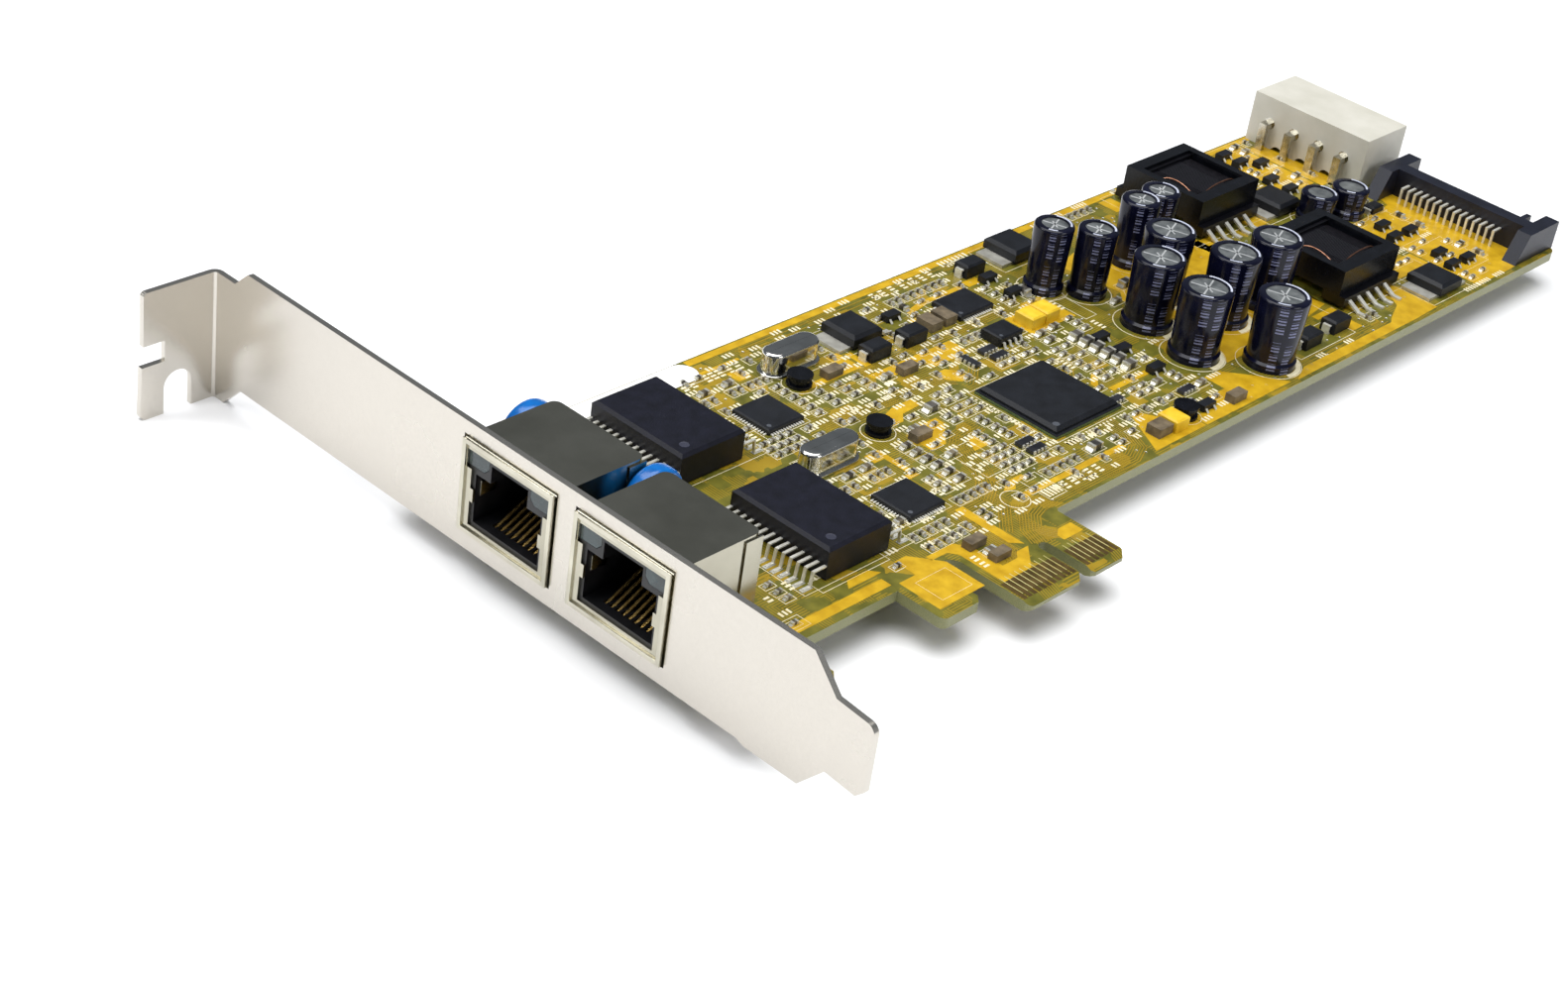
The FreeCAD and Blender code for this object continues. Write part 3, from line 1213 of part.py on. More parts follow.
os.makedirs("parts", exist_ok=True)
export("circuit_board", make_board())
export("edge_contacts", make_edge_contacts())
export("bracket", make_bracket())
export("bracket_screws", make_screws())
for place, jack_centre in JACK_CENTRES.items():
    export(place + "_jack_shield", make_shield(jack_centre))
    export(place + "_jack_housing", make_jack_housing(jack_centre))
    export(place + "_jack_contacts", make_jack_contacts(jack_centre))
    export(place + "_jack_light_pipes", make_light_pipes(jack_centre))
    export(place + "_disc_capacitor", make_disc(place))
for place, pulse_centre in PULSE_CENTRES.items():
    export(place + "_pulse_transformer", make_pulse_body(pulse_centre))
    export(place + "_pulse_transformer_leads", make_pulse_leads(pulse_centre))
for place, crystal_place in CRYSTALS.items():
    export(place + "_crystal", make_crystal(crystal_place))
export("bridge_chip", make_bridge_chip())
for place, port_chip in PORT_CHIPS.items():
    export(place + "_port_chip", make_chip(port_chip))
export("power_chip", make_chip(POWER_CHIP))
export("memory_chip", make_chip(MEMORY_CHIP))
export("memory_chip_leads", make_memory_leads())
for number, capacitor in enumerate(CAPACITORS, 1):
    export("capacitor_%d" % number, make_capacitor(capacitor))
for place, power_centre in POWER_CENTRES.items():
    export(place + "_power_core", make_core(power_centre))
    export(place + "_power_bobbin", make_bobbin(power_centre))
    export(place + "_power_winding", make_winding(power_centre))
    export(place + "_power_leads", make_power_leads(power_centre))
export("four_pin_housing", make_four_housing())
export("four_pin_contacts", make_four_pins())
export("flat_power_housing", make_flat_housing())
export("flat_power_contacts", make_flat_contacts())
export("power_switch_bodies", make_switch_bodies())
export("power_switch_frames", make_switch_frames())
export("rectifier_diodes", make_diodes())
export("diode_leads", make_diode_leads())
export("small_transistors", make_transistors())
export("transistor_leads", make_transistor_leads())
export("tantalum_capacitors", make_tantalums())
export("drum_inductors", make_drums())
export("ceramic_capacitors", make_ceramics())
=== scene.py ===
import math
import random
import bpy
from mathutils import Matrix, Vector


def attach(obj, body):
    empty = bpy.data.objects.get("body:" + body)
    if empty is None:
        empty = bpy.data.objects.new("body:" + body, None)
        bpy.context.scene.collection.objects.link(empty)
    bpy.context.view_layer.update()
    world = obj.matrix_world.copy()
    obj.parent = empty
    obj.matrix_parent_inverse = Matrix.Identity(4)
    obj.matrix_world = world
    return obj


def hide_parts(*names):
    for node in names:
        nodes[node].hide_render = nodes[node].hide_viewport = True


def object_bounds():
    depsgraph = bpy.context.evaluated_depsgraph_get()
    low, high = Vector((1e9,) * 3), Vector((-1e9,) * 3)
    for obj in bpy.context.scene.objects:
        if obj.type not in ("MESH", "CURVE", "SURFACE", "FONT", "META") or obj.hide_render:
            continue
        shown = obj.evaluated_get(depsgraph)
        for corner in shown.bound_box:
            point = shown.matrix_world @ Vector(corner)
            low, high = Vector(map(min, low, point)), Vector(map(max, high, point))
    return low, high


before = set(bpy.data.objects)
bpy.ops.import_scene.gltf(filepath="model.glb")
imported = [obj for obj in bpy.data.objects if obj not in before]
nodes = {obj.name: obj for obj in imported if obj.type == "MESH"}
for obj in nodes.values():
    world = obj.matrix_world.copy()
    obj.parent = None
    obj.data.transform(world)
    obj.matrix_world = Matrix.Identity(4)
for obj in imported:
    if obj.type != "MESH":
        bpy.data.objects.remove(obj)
cad_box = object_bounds()
MM = 0.001


# The view, as a photographer would set it: the camera stands above the bracket's lower end
# and looks along the card towards its power inlets.
bpy.ops.object.camera_add(location=(-0.25522, -0.16558, 0.19087),
                          rotation=(math.radians(57.466), math.radians(-7.400),
                                    math.radians(-46.508)))
camera = bpy.context.object
camera.name = "camera"
camera.data.lens = 62.74
camera.data.sensor_width = 36.0
camera.data.clip_start = 0.01
bpy.context.scene.camera = camera


# The table the card lies on: a pale sheet with a barely mottled matt surface, level with the
# lowest edge of the bracket's folded tab.
def paint(red, green, blue):
    """A colour as read off a swatch, 0 to 255, in the renderer's own scale."""
    out = []
    for value in (red, green, blue):
        share = value / 255.0
        out.append(share / 12.92 if share <= 0.04045 else ((share + 0.055) / 1.055) ** 2.4)
    return (out[0], out[1], out[2], 1.0)


def add_node(tree, kind, inputs, **settings):
    """A shader node whose inputs are numbers, colours or other nodes' outputs."""
    node = tree.nodes.new("ShaderNode" + kind)
    for key, setting in settings.items():
        setattr(node, key, setting)
    for key, value in inputs.items():
        if isinstance(value, bpy.types.NodeSocket):
            tree.links.new(value, node.inputs[key])
        else:
            node.inputs[key].default_value = value
    return node


def finish(name, dark, light, roughness, metallic=0.0, patch=300.0, grain=6000.0, relief=0.02,
           gloss=0.5, spread=0.2):
    """A surface whose tone drifts between two swatches, with a fine grain in its relief."""
    material = bpy.data.materials.new(name)
    material.use_nodes = True
    tree = material.node_tree
    shader = tree.nodes["Principled BSDF"]
    place = add_node(tree, "TexCoord", {}).outputs["Object"]
    drift = add_node(tree, "TexNoise", {"Vector": place, "Scale": patch, "Detail": 5.0})
    tone = add_node(tree, "ValToRGB", {"Fac": drift.outputs["Fac"]}, name="tone")
    for i, (position, swatch) in enumerate(((0.5 - spread, dark), (0.5 + spread, light))):
        tone.color_ramp.elements[i].position = position
        tone.color_ramp.elements[i].color = paint(*swatch)
    fine = add_node(tree, "TexNoise", {"Vector": place, "Scale": grain, "Detail": 2.0},
                    name="grain")
    raised = add_node(tree, "Bump", {"Height": fine.outputs["Fac"], "Strength": 0.6,
                                     "Distance": relief * MM})
    wear = add_node(tree, "MapRange", {"Value": drift.outputs["Fac"], "To Min": roughness * 0.85,
                                       "To Max": roughness * 1.15})
    tree.links.new(tone.outputs["Color"], shader.inputs["Base Color"])
    tree.links.new(wear.outputs["Result"], shader.inputs["Roughness"])
    tree.links.new(raised.outputs["Normal"], shader.inputs["Normal"])
    shader.inputs["Metallic"].default_value = metallic
    shader.inputs["Specular IOR Level"].default_value = gloss
    return material


def pick(*pieces):
    """Selects these pieces alone, the first one active."""
    bpy.ops.object.select_all(action="DESELECT")
    for piece in pieces:
        piece.select_set(True)
    bpy.context.view_layer.objects.active = pieces[0]


def settle(*pieces):
    """Moves the pieces' places and turns into their meshes, so their origins are the card's."""
    pick(*pieces)
    bpy.ops.object.transform_apply(location=True, rotation=True, scale=True)


bpy.ops.object.select_all(action="DESELECT")
bpy.ops.mesh.primitive_plane_add(size=3.0, location=(0.0, 0.0, cad_box[0][2]))
floor = bpy.context.object
floor.name = "floor"
settle(floor)
floor.data.materials.append(finish("table_sheet", (246, 246, 248), (252, 252, 252), 0.9,
                                   patch=5.0, grain=400.0, gloss=0.1))


# Studio light: a dim surround, so that level metal looks dark, and one large soft box overhead
# that whitens the table, which in turn lights the bracket.
surround = bpy.data.worlds.new("surround")
bpy.context.scene.world = surround
surround.use_nodes = True
background = surround.node_tree.nodes["Background"]
background.inputs["Color"].default_value = (0.82, 0.9, 1.0, 1.0)
background.inputs["Strength"].default_value = 0.17
bpy.context.scene.view_settings.view_transform = "Standard"


def soft_box(name, spot, aim, size, watts):
    """A square soft light at a spot, turned to face its aim."""
    bpy.ops.object.light_add(type="AREA", location=spot)
    lamp = bpy.context.object
    lamp.name = name
    lamp.data.shape = "SQUARE"
    lamp.data.size = size
    lamp.data.energy = watts
    run = [aim[i] - spot[i] for i in range(3)]
    flat = math.hypot(run[0], run[1])
    lamp.rotation_euler = (math.atan2(flat, -run[2]), 0.0, math.atan2(run[1], run[0]) - math.pi / 2)


soft_box("overhead_light", (-0.05, 0.1, 0.8), (0.02, 0.03, 0.0), 0.9, 10.5)
soft_box("left_light", (-0.6, 0.45, 0.45), (0.0, 0.03, 0.0), 0.35, 1.8)
soft_box("front_light", (0.15, -0.7, 0.4), (0.03, 0.03, 0.0), 0.35, 1.8)


# Circuit board: a glass-fibre sheet under a green-gold mask, with a bare sawn edge where the
# resin and the cut glass show. The blank is routed and drilled.
def wear_finish(material, *names):
    """Puts one finish on the named pieces that come with the frame."""
    for name in names:
        piece = nodes[name]
        piece.data.materials.clear()
        piece.data.materials.append(material)


def reckon(tree, operation, first, second=0.0, margin=0.5):
    """A sum on two numbers or other nodes' outputs; COMPARE also takes a margin."""
    return add_node(tree, "Math", {0: first, 1: second, 2: margin}, operation=operation).outputs[0]


def layered(tree, share, under, over):
    """One colour laid over another, by a share of 0 to 1."""
    return add_node(tree, "Mix", {"Factor": share, "A": under, "B": over},
                    data_type="RGBA").outputs["Result"]


def sided(material, edge_dark, edge_light):
    """Gives the sheet's sawn sides their own tone, by which way each face looks."""
    tree = material.node_tree
    facing = add_node(tree, "NewGeometry", {}).outputs["Normal"]
    upright = add_node(tree, "SeparateXYZ", {"Vector": facing}).outputs["Z"]
    is_side = reckon(tree, "LESS_THAN", reckon(tree, "ABSOLUTE", upright), 0.9)
    edge = add_node(tree, "ValToRGB", {"Fac": tree.nodes["grain"].outputs["Fac"]})
    edge.color_ramp.elements[0].color = paint(*edge_dark)
    edge.color_ramp.elements[1].color = paint(*edge_light)
    toned = layered(tree, is_side, tree.nodes["tone"].outputs["Color"], edge.outputs["Color"])
    tree.links.new(toned, tree.nodes["Principled BSDF"].inputs["Base Color"])
    return material


def etched(material, swatch):
    """Shows the copper left under the mask: straight-sided patches and runs of fine tracks."""
    cells_per_metre, tracks_per_metre = 340.0, 2300.0
    patches_from, track_width = 0.87, 0.42
    patch_weight, track_weight = 0.5, 0.42
    upper_face_from = -0.8 * MM
    tree = material.node_tree
    place = add_node(tree, "TexCoord", {}).outputs["Object"]
    split = add_node(tree, "SeparateXYZ", {"Vector": place})
    cells = add_node(tree, "TexVoronoi", {"Vector": place, "Scale": cells_per_metre},
                     distance="CHEBYCHEV")
    shares = add_node(tree, "SeparateColor", {"Color": cells.outputs["Color"]})
    patch = reckon(tree, "GREATER_THAN", shares.outputs[0], patches_from)
    stripes = 0.0
    for axis, band in (("X", 0.14), ("Y", 0.4)):
        near = reckon(tree, "COMPARE", shares.outputs[1], band, 0.13)
        count = reckon(tree, "MULTIPLY", split.outputs[axis], tracks_per_metre)
        run = reckon(tree, "LESS_THAN", reckon(tree, "FRACT", count), track_width)
        stripes = reckon(tree, "MAXIMUM", stripes, reckon(tree, "MULTIPLY", near, run))
    shown = reckon(tree, "MAXIMUM", reckon(tree, "MULTIPLY", patch, patch_weight),
                   reckon(tree, "MULTIPLY", stripes, track_weight))
    upper = reckon(tree, "GREATER_THAN", split.outputs["Z"], upper_face_from)
    masked = tree.nodes["tone"].outputs["Color"]
    uses = [link.to_socket for link in masked.links]
    copper = layered(tree, reckon(tree, "MULTIPLY", shown, upper), masked, paint(*swatch))
    for socket in uses:
        tree.links.new(copper, socket)
    tree.nodes["Principled BSDF"].inputs["Coat Weight"].default_value = 0.15
    return material


mask = sided(finish("green_gold_mask", (80, 80, 22), (118, 112, 36), 0.38, patch=420.0,
                    gloss=0.35), (100, 104, 66), (150, 148, 104))
wear_finish(etched(mask, (190, 150, 24)), "circuit_board")


# Copper areas: sheets of copper under the mask, which look a warm yellow. They are etched as
# one film with the board.
FACE_TO_KEY = 59.05


def place_of(x, y, z=0.0):
    """A place in millimetres from the bracket's face, the board's lower edge and its face."""
    return ((x - FACE_TO_KEY) * MM, y * MM, z * MM)


def hand_over(piece, material):
    """Gives a made piece its finish, and lets it go with the card."""
    piece.data.materials.clear()
    piece.data.materials.append(material)
    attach(piece, "root")


def flat_shapes(name, outlines, low, high):
    """Thin plates cut to closed outlines, from one level over the board to another."""
    curve = bpy.data.curves.new(name, "CURVE")
    curve.dimensions = "2D"
    curve.fill_mode = "BOTH"
    curve.extrude = (high - low) / 2.0 * MM
    for corners in outlines:
        spline = curve.splines.new("POLY")
        spline.points.add(len(corners) - 1)
        for point, corner in zip(spline.points, corners):
            point.co = (*place_of(corner[0], corner[1])[:2], 0.0, 1.0)
        spline.use_cyclic_u = True
    plate = bpy.data.objects.new(name, curve)
    bpy.context.collection.objects.link(plate)
    pick(plate)
    bpy.ops.object.convert(target="MESH")
    plate.location = (0.0, 0.0, (low + high) / 2.0 * MM)
    settle(plate)
    bpy.ops.object.mode_set(mode="EDIT")
    bpy.ops.mesh.select_all(action="SELECT")
    bpy.ops.mesh.remove_doubles(threshold=0.000001)
    bpy.ops.mesh.normals_make_consistent(inside=False)
    bpy.ops.object.mode_set(mode="OBJECT")
    return plate


def bar(x0, x1, y0, y1):
    """Corners of an upright box between four limits."""
    return [(x0, y0), (x1, y0), (x1, y1), (x0, y1)]


copper_areas = [
    bar(52.5, 199.0, 54.6, 55.9), bar(46.0, 60.0, 51.9, 52.5), bar(55.4, 58.0, 47.6, 50.2),
    [(61.6, 40.4), (73.2, 40.4), (73.2, 45.2), (70.6, 45.2), (70.6, 41.6), (61.6, 41.6)],
    [(75.0, 36.1), (82.0, 36.1), (82.0, 34.4), (90.2, 34.4), (90.2, 38.3), (72.2, 38.3),
     (72.2, 37.2)],
    [(80.5, 33.2), (83.0, 33.2), (84.5, 31.6), (84.5, 29.4), (82.5, 29.4), (81.0, 31.0)],
    [(64.5, 19.6), (67.5, 19.6), (71.5, 23.4), (71.5, 25.0), (68.0, 25.0), (64.5, 22.0)],
    [(69.4, 16.0), (72.4, 16.0), (72.4, 18.6), (71.0, 18.6)],
    [(56.3, 16.5), (58.4, 16.5), (58.4, 24.0), (55.4, 24.0), (55.4, 22.0), (57.4, 22.0),
     (57.4, 17.5), (56.3, 17.5)],
    [(64.0, 27.0), (67.0, 27.0), (68.5, 28.4), (72.6, 28.6), (72.6, 30.4), (68.4, 30.4),
     (64.0, 29.0)],
    bar(66.0, 88.4, 4.2, 5.2),
    [(64.8, 7.0), (67.0, 8.4), (70.2, 8.4), (70.2, 7.5), (67.8, 7.4), (66.6, 6.4)],
    [(91.2, 1.0), (103.2, 1.0), (103.2, 6.0), (99.4, 6.0), (97.6, 8.8), (95.8, 8.8), (94.0, 5.8)],
    [(103.4, 1.0), (124.6, 1.0), (121.0, 5.6), (117.5, 9.4), (114.2, 9.4), (114.2, 5.6),
     (109.6, 5.6), (109.6, 3.4), (103.4, 3.4)],
    bar(99.4, 109.4, 14.9, 15.9),
    [(98.0, 16.6), (100.6, 18.8), (100.6, 20.0), (98.0, 18.0)],
    [(102.3, 32.3), (112.6, 32.3), (112.6, 39.4), (108.0, 39.4), (106.0, 37.8), (102.3, 37.8)],
    [(91.0, 46.7), (96.4, 47.7), (104.4, 47.7), (104.4, 48.6), (95.0, 48.6), (91.0, 47.7)],
    bar(105.4, 108.6, 47.4, 49.0), bar(89.4, 95.0, 44.6, 45.6), bar(73.8, 75.0, 40.2, 44.3),
    [(44.0, 1.9), (47.0, 1.9), (48.0, 0.6), (48.0, -6.9), (53.6, -6.9), (57.2, -3.4),
     (54.8, -3.4), (53.8, -4.4), (50.8, -4.4), (50.8, 0.9), (49.2, 2.9), (44.0, 2.9)],
    [(62.4, -5.4), (66.4, -5.4), (66.4, -3.2), (63.8, -3.2), (62.4, -4.2)],
    [(55.6, -1.4), (57.2, -2.8), (57.2, 7.9), (55.6, 7.9)],
    [(36.6, -5.9), (45.4, -5.9), (45.4, 0.6), (42.0, 4.6), (39.8, 4.6), (39.8, 1.0), (36.6, 1.0)],
    bar(18.0, 35.5, 1.3, 3.0), [(30.4, 4.0), (36.6, 4.0), (35.4, 5.4), (31.6, 5.4)],
    [(126.0, 0.7), (159.6, 0.7), (165.4, 0.9), (165.4, 9.8), (162.2, 8.4), (160.0, 5.0),
     (156.0, 3.4), (154.2, 2.4), (130.0, 2.4)],
    [(121.0, 10.0), (136.0, 10.0), (150.0, 12.0), (150.0, 44.6), (131.0, 46.0), (123.0, 44.0),
     (124.6, 33.0), (122.6, 31.0), (125.4, 26.6), (124.8, 20.0), (122.0, 18.6)],
    bar(146.4, 149.2, 4.4, 7.0), bar(144.6, 150.0, 9.6, 10.8), bar(148.0, 153.0, 34.4, 36.6),
    bar(161.8, 165.8, 33.8, 36.6), bar(146.4, 149.6, 50.4, 54.2), bar(123.0, 126.0, 52.4, 54.4),
    bar(186.2, 190.4, 36.8, 52.4),
    [(178.0, 1.0), (190.0, 1.0), (194.6, 3.4), (194.6, 30.6), (192.0, 30.6), (190.0, 26.0),
     (178.0, 25.2)],
    [(168.0, 9.8), (177.6, 9.8), (177.6, 13.8), (172.0, 13.8), (168.0, 11.2)],
    bar(178.2, 185.8, 38.2, 53.6),
]
copper_mask = finish("copper_under_mask", (178, 138, 14), (208, 168, 30), 0.36,
                     patch=500.0, gloss=0.4)
hand_over(flat_shapes("copper_areas", copper_areas, -0.01, 0.03), copper_mask)


# Tracks: narrow copper runs under the same mask, in bundles that bend together on their way
# from the card edge to the chips.
def lines(name, routes, width, height, closed=False):
    """Raised lines on the board along routes of (x, y) places."""
    curve = bpy.data.curves.new(name, "CURVE")
    curve.dimensions = "3D"
    curve.bevel_depth = width / 2.0 * MM
    curve.bevel_resolution = 0
    curve.use_fill_caps = True
    for route in routes:
        spline = curve.splines.new("POLY")
        spline.points.add(len(route) - 1)
        for point, corner in zip(spline.points, route):
            point.co = (*place_of(corner[0], corner[1]), 1.0)
        spline.use_cyclic_u = closed
    run = bpy.data.objects.new(name, curve)
    bpy.context.collection.objects.link(run)
    pick(run)
    bpy.ops.object.convert(target="MESH")
    bpy.ops.object.mode_set(mode="EDIT")
    bpy.ops.mesh.select_all(action="SELECT")
    bpy.ops.transform.resize(value=(1.0, 1.0, 2.0 * height / width),
                             center_override=(0.0, 0.0, 0.0))
    bpy.ops.mesh.normals_make_consistent(inside=False)
    bpy.ops.object.mode_set(mode="OBJECT")
    return run


def abreast(route, count, pitch):
    """Routes that run side by side with one that is given."""
    runs = []
    for k in range(count):
        shift = (k - (count - 1) / 2.0) * pitch
        run = []
        for i, (x, y) in enumerate(route):
            before = route[max(i - 1, 0)]
            after = route[min(i + 1, len(route) - 1)]
            along = (after[0] - before[0], after[1] - before[1])
            length = math.hypot(*along)
            run.append((x - along[1] / length * shift, y + along[0] / length * shift))
        runs.append(run)
    return runs


tracks = []
for route, count, pitch in (
        ([(54.5, 7.2), (60.5, 7.2), (64.3, 9.5), (66.3, 12.0), (67.0, 15.0), (68.5, 18.0),
          (71.0, 19.8), (75.0, 20.4)], 8, 0.42),
        ([(59.4, -4.0), (60.4, -1.4), (63.4, 1.4), (66.0, 2.2), (87.0, 2.2), (89.8, 3.4),
          (91.2, 6.2), (91.4, 11.0)], 8, 0.42),
        ([(56.0, 32.0), (79.0, 32.0), (82.0, 30.2)], 6, 0.42),
        ([(71.0, 39.4), (105.4, 39.4)], 4, 0.42), ([(54.0, 27.6), (60.2, 28.2)], 3, 0.42),
        ([(61.0, 53.4), (124.0, 53.4)], 2, 0.9),
        ([(57.4, 0.4), (62.4, 5.0), (62.8, 9.6)], 5, 0.42),
        ([(52.6, -6.6), (52.6, -5.0), (54.4, -2.8), (54.4, 3.0), (56.0, 7.0)], 6, 0.42),
        ([(63.6, -6.6), (63.6, -5.2), (61.6, -2.4), (61.6, 1.0), (64.0, 3.6)], 5, 0.42),
        ([(18.0, 12.2), (28.0, 12.2)], 3, 0.6), ([(24.0, 6.4), (27.0, 6.4)], 2, 0.5),
        ([(83.2, 28.2), (88.4, 32.0)], 4, 0.45), ([(97.0, 21.2), (100.8, 25.0)], 4, 0.5),
        ([(130.0, 3.2), (154.0, 3.2)], 2, 0.7), ([(49.0, 50.8), (57.4, 50.8)], 2, 0.7)):
    tracks += abreast(route, count, pitch)
hand_over(lines("tracks", tracks, 0.22, 0.03),
          finish("track_under_mask", (146, 122, 32), (172, 140, 36), 0.36, gloss=0.4))


# Printed outlines: cream ink, screened on the finished mask, round the places of the parts,
# with short plain bars beside them.
def boxed(x, y, length, width):
    """Corners of an upright box round a place."""
    return bar(x - length / 2.0, x + length / 2.0, y - width / 2.0, y + width / 2.0)


def arc(x, y, radius, start, end, count):
    """Places along an arc, angles in degrees."""
    return [(x + radius * math.cos(math.radians(start + (end - start) * i / count)),
             y + radius * math.sin(math.radians(start + (end - start) * i / count)))
            for i in range(count + 1)]


def rows(*groups):
    """Places of like parts, from groups of xs, ys and a number of quarter turns."""
    return [(x, y, turn) for xs, ys, turn in groups for y in ys for x in xs]


def is_free(x, y, margin, bare=("circuit_board", "copper_areas", "tracks")):
    """True where only the bare board is seen from above, at a place and round it."""
    seen = bpy.context.evaluated_depsgraph_get()
    for step_x, step_y in ((0, 0), (1, 0), (-1, 0), (0, 1), (0, -1), (1, 1), (-1, -1)):
        eye = place_of(x + step_x * margin, y + step_y * margin, 60.0)
        hit, _, _, _, piece, _ = bpy.context.scene.ray_cast(seen, eye, (0.0, 0.0, -1.0))
        if not hit or piece.name not in bare:
            return False
    return True


small_chips = rows(
    ((47.0, 48.6, 52.2, 53.8, 55.8, 57.3, 58.8), (45.9,), 1),
    ((58.7,), (43.4, 41.8, 40.1, 38.5, 36.9, 35.3), 0),
    ((62.8, 66.6, 70.4), (39.0, 37.3, 35.7), 0), ((46.0, 47.7, 49.4, 51.1), (33.9, 32.4, 30.9), 0),
    ((59.4,), (31.8,), 1), ((61.0,), (31.2,), 0), ((84.0,), (35.6, 34.2, 31.0, 29.6), 0),
    ((76.4, 78.8), (28.9, 26.8, 24.9, 23.0), 0), ((76.6,), (21.2, 19.9), 0),
    ((91.0, 92.6, 94.2, 95.8, 97.4, 99.2, 100.8, 102.4), (50.7,), 1),
    ((107.0,), (45.6, 43.6, 41.8, 40.2), 0), ((91.4, 93.0, 94.6), (36.9,), 1),
    ((91.3, 93.4, 96.6, 98.6), (29.0,), 0), ((110.8,), (32.2, 30.6, 29.0), 0),
    ((110.8,), (17.9, 12.9, 11.6), 0), ((101.4,), (27.2, 25.8, 24.3, 22.8, 21.2, 19.4, 17.8), 0),
    ((103.9,), (27.2, 24.3, 21.2, 18.4), 0), ((101.8, 104.2), (13.4, 11.9), 0),
    ((94.6, 99.2, 102.8), (9.0,), 1), ((96.9, 105.0), (8.9,), 0), ((58.6,), (14.9, 13.4, 11.8), 0),
    ((57.6, 59.0, 60.6, 62.1, 63.6), (9.1,), 1), ((69.9, 71.7, 73.5), (14.4, 12.8, 11.2, 9.6), 0),
    ((73.1,), (18.8, 17.4, 16.0), 0), ((76.8,), (18.4, 17.1, 15.8, 9.4), 0),
    ((73.3,), (24.2, 22.8), 0), ((73.4, 75.0, 76.6, 78.2, 79.8), (6.5,), 1),
    ((45.9, 47.5, 49.1, 50.7, 52.3), (6.7, 3.9), 1), ((54.0,), (4.4,), 1), ((58.2,), (5.4, 4.1), 0),
    ((88.8,), (6.6, 5.2), 0),
    ((47.0, 48.7, 52.1, 53.7, 55.2), (19.6,), 1), ((22.5,), (10.5, 8.7, 7.1), 0),
    ((19.2,), (2.9,), 0), ((39.2,), (3.6,), 0),
    ((179.4,), (3.0, 4.4, 9.6, 12.8, 14.4, 24.4, 35.0, 45.6, 47.0), 0),
    ((183.2,), (3.4, 9.4, 14.8, 24.2, 39.4, 44.2, 50.4), 0), ((187.2,), (12.6, 25.6, 28.6), 0),
    ((188.2,), (40.4, 47.0, 54.2), 1), ((138.0, 139.6, 141.2, 142.8), (53.6,), 1),
    ((152.0, 153.8), (5.4,), 1), ((170.4, 172.6, 174.8), (12.6,), 0),
)
medium_chips = rows(
    ((48.6, 53.4), (47.9,), 0), ((74.1,), (36.4,), 0), ((91.4,), (48.6,), 1),
    ((62.1,), (22.2, 20.3, 18.4, 16.5, 14.5, 12.5), 0), ((49.8, 53.4), (21.7,), 0),
    ((47.0,), (10.2,), 0), ((51.9,), (-1.3,), 0), ((103.2,), (31.6,), 0),
    ((106.6,), (31.8,), 0), ((103.0,), (29.6,), 0), ((106.8,), (12.6,), 0), ((112.2,), (8.6,), 0),
    ((66.4,), (24.6,), 0), ((65.8,), (17.2,), 0), ((184.6,), (54.0,), 0), ((184.8,), (51.9,), 0),
    ((185.0,), (41.4,), 0), ((188.0,), (18.6, 22.4), 1), ((188.2,), (7.2,), 1),
    ((188.0,), (10.6,), 0), ((121.4,), (31.4,), 0),
)
large_chips = rows(
    ((107.0,), (27.9, 25.9, 23.9, 21.9, 19.9, 17.9), 0), ((72.6,), (26.8,), 0),
    ((84.2,), (6.6,), 0), ((111.0,), (41.4,), 1), ((127.0,), (34.0,), 0),
)
arrays = rows(
    ((87.6,), (32.2,), 1), ((92.4,), (33.0,), 0), ((97.0,), (12.9,), 0), ((76.9,), (13.2,), 0),
    ((108.6,), (8.6,), 0), ((92.6,), (30.9,), 0), ((76.9,), (11.2,), 0),
)

# Further small chips go wherever a bare spot between the listed ones is wide enough.
random.seed(11)
clear_x, clear_y, margin = 2.7, 2.2, 1.3
listed = small_chips + medium_chips + large_chips + arrays
for _ in range(5000):
    x, y, turn = random.uniform(45.0, 111.0), random.uniform(4.0, 52.0), random.choice((0, 1))
    if all(abs(x - a) > clear_x or abs(y - b) > clear_y for a, b, _ in listed):
        if is_free(x, y, margin, ("circuit_board", "copper_areas")):
            listed.append((x, y, turn))
            small_chips.append((x, y, turn))

outlines = []
for group, length, width in ((small_chips, 2.0, 1.3), (medium_chips, 2.8, 1.7),
                             (large_chips, 3.3, 1.95), (arrays, 3.9, 2.1)):
    for x, y, turn in group:
        outlines.append(boxed(x, y, width, length) if turn % 2 else boxed(x, y, length, width))
outlines += [boxed(*box) for box in (
    (88.9, 18.7, 16.2, 16.2), (51.8, 12.9, 8.4, 8.4), (51.9, 38.7, 8.4, 8.4),
    (99.6, 43.9, 9.4, 7.4), (97.3, 34.5, 6.2, 6.6), (78.2, 47.4, 11.2, 7.6),
    (119.6, 51.1, 11.2, 7.6), (171.2, 36.9, 11.4, 7.6), (171.0, 5.4, 11.4, 8.0),
    (139.0, 6.4, 14.8, 5.0), (158.1, 17.8, 20.4, 19.8), (158.1, 45.1, 20.4, 19.8),
    (19.3, 2.9, 3.4, 2.4), (33.4, 6.6, 12.6, 2.6), (68.4, 46.8, 12.4, 6.0),
    (51.9, 25.7, 12.4, 6.0), (35.1, 15.45, 20.8, 18.6), (35.1, 41.65, 20.8, 18.6),
    (70.4, 3.2, 3.6, 2.6), (70.4, 6.6, 3.6, 2.2), (114.4, 34.0, 2.6, 6.6), (41.3, -2.5, 5.8, 4.6),
    (68.2, 14.4, 5.0, 7.8), (182.0, 9.6, 11.4, 9.4), (182.0, 20.6, 11.4, 9.4),
    (182.4, 50.4, 9.0, 10.4),
)]
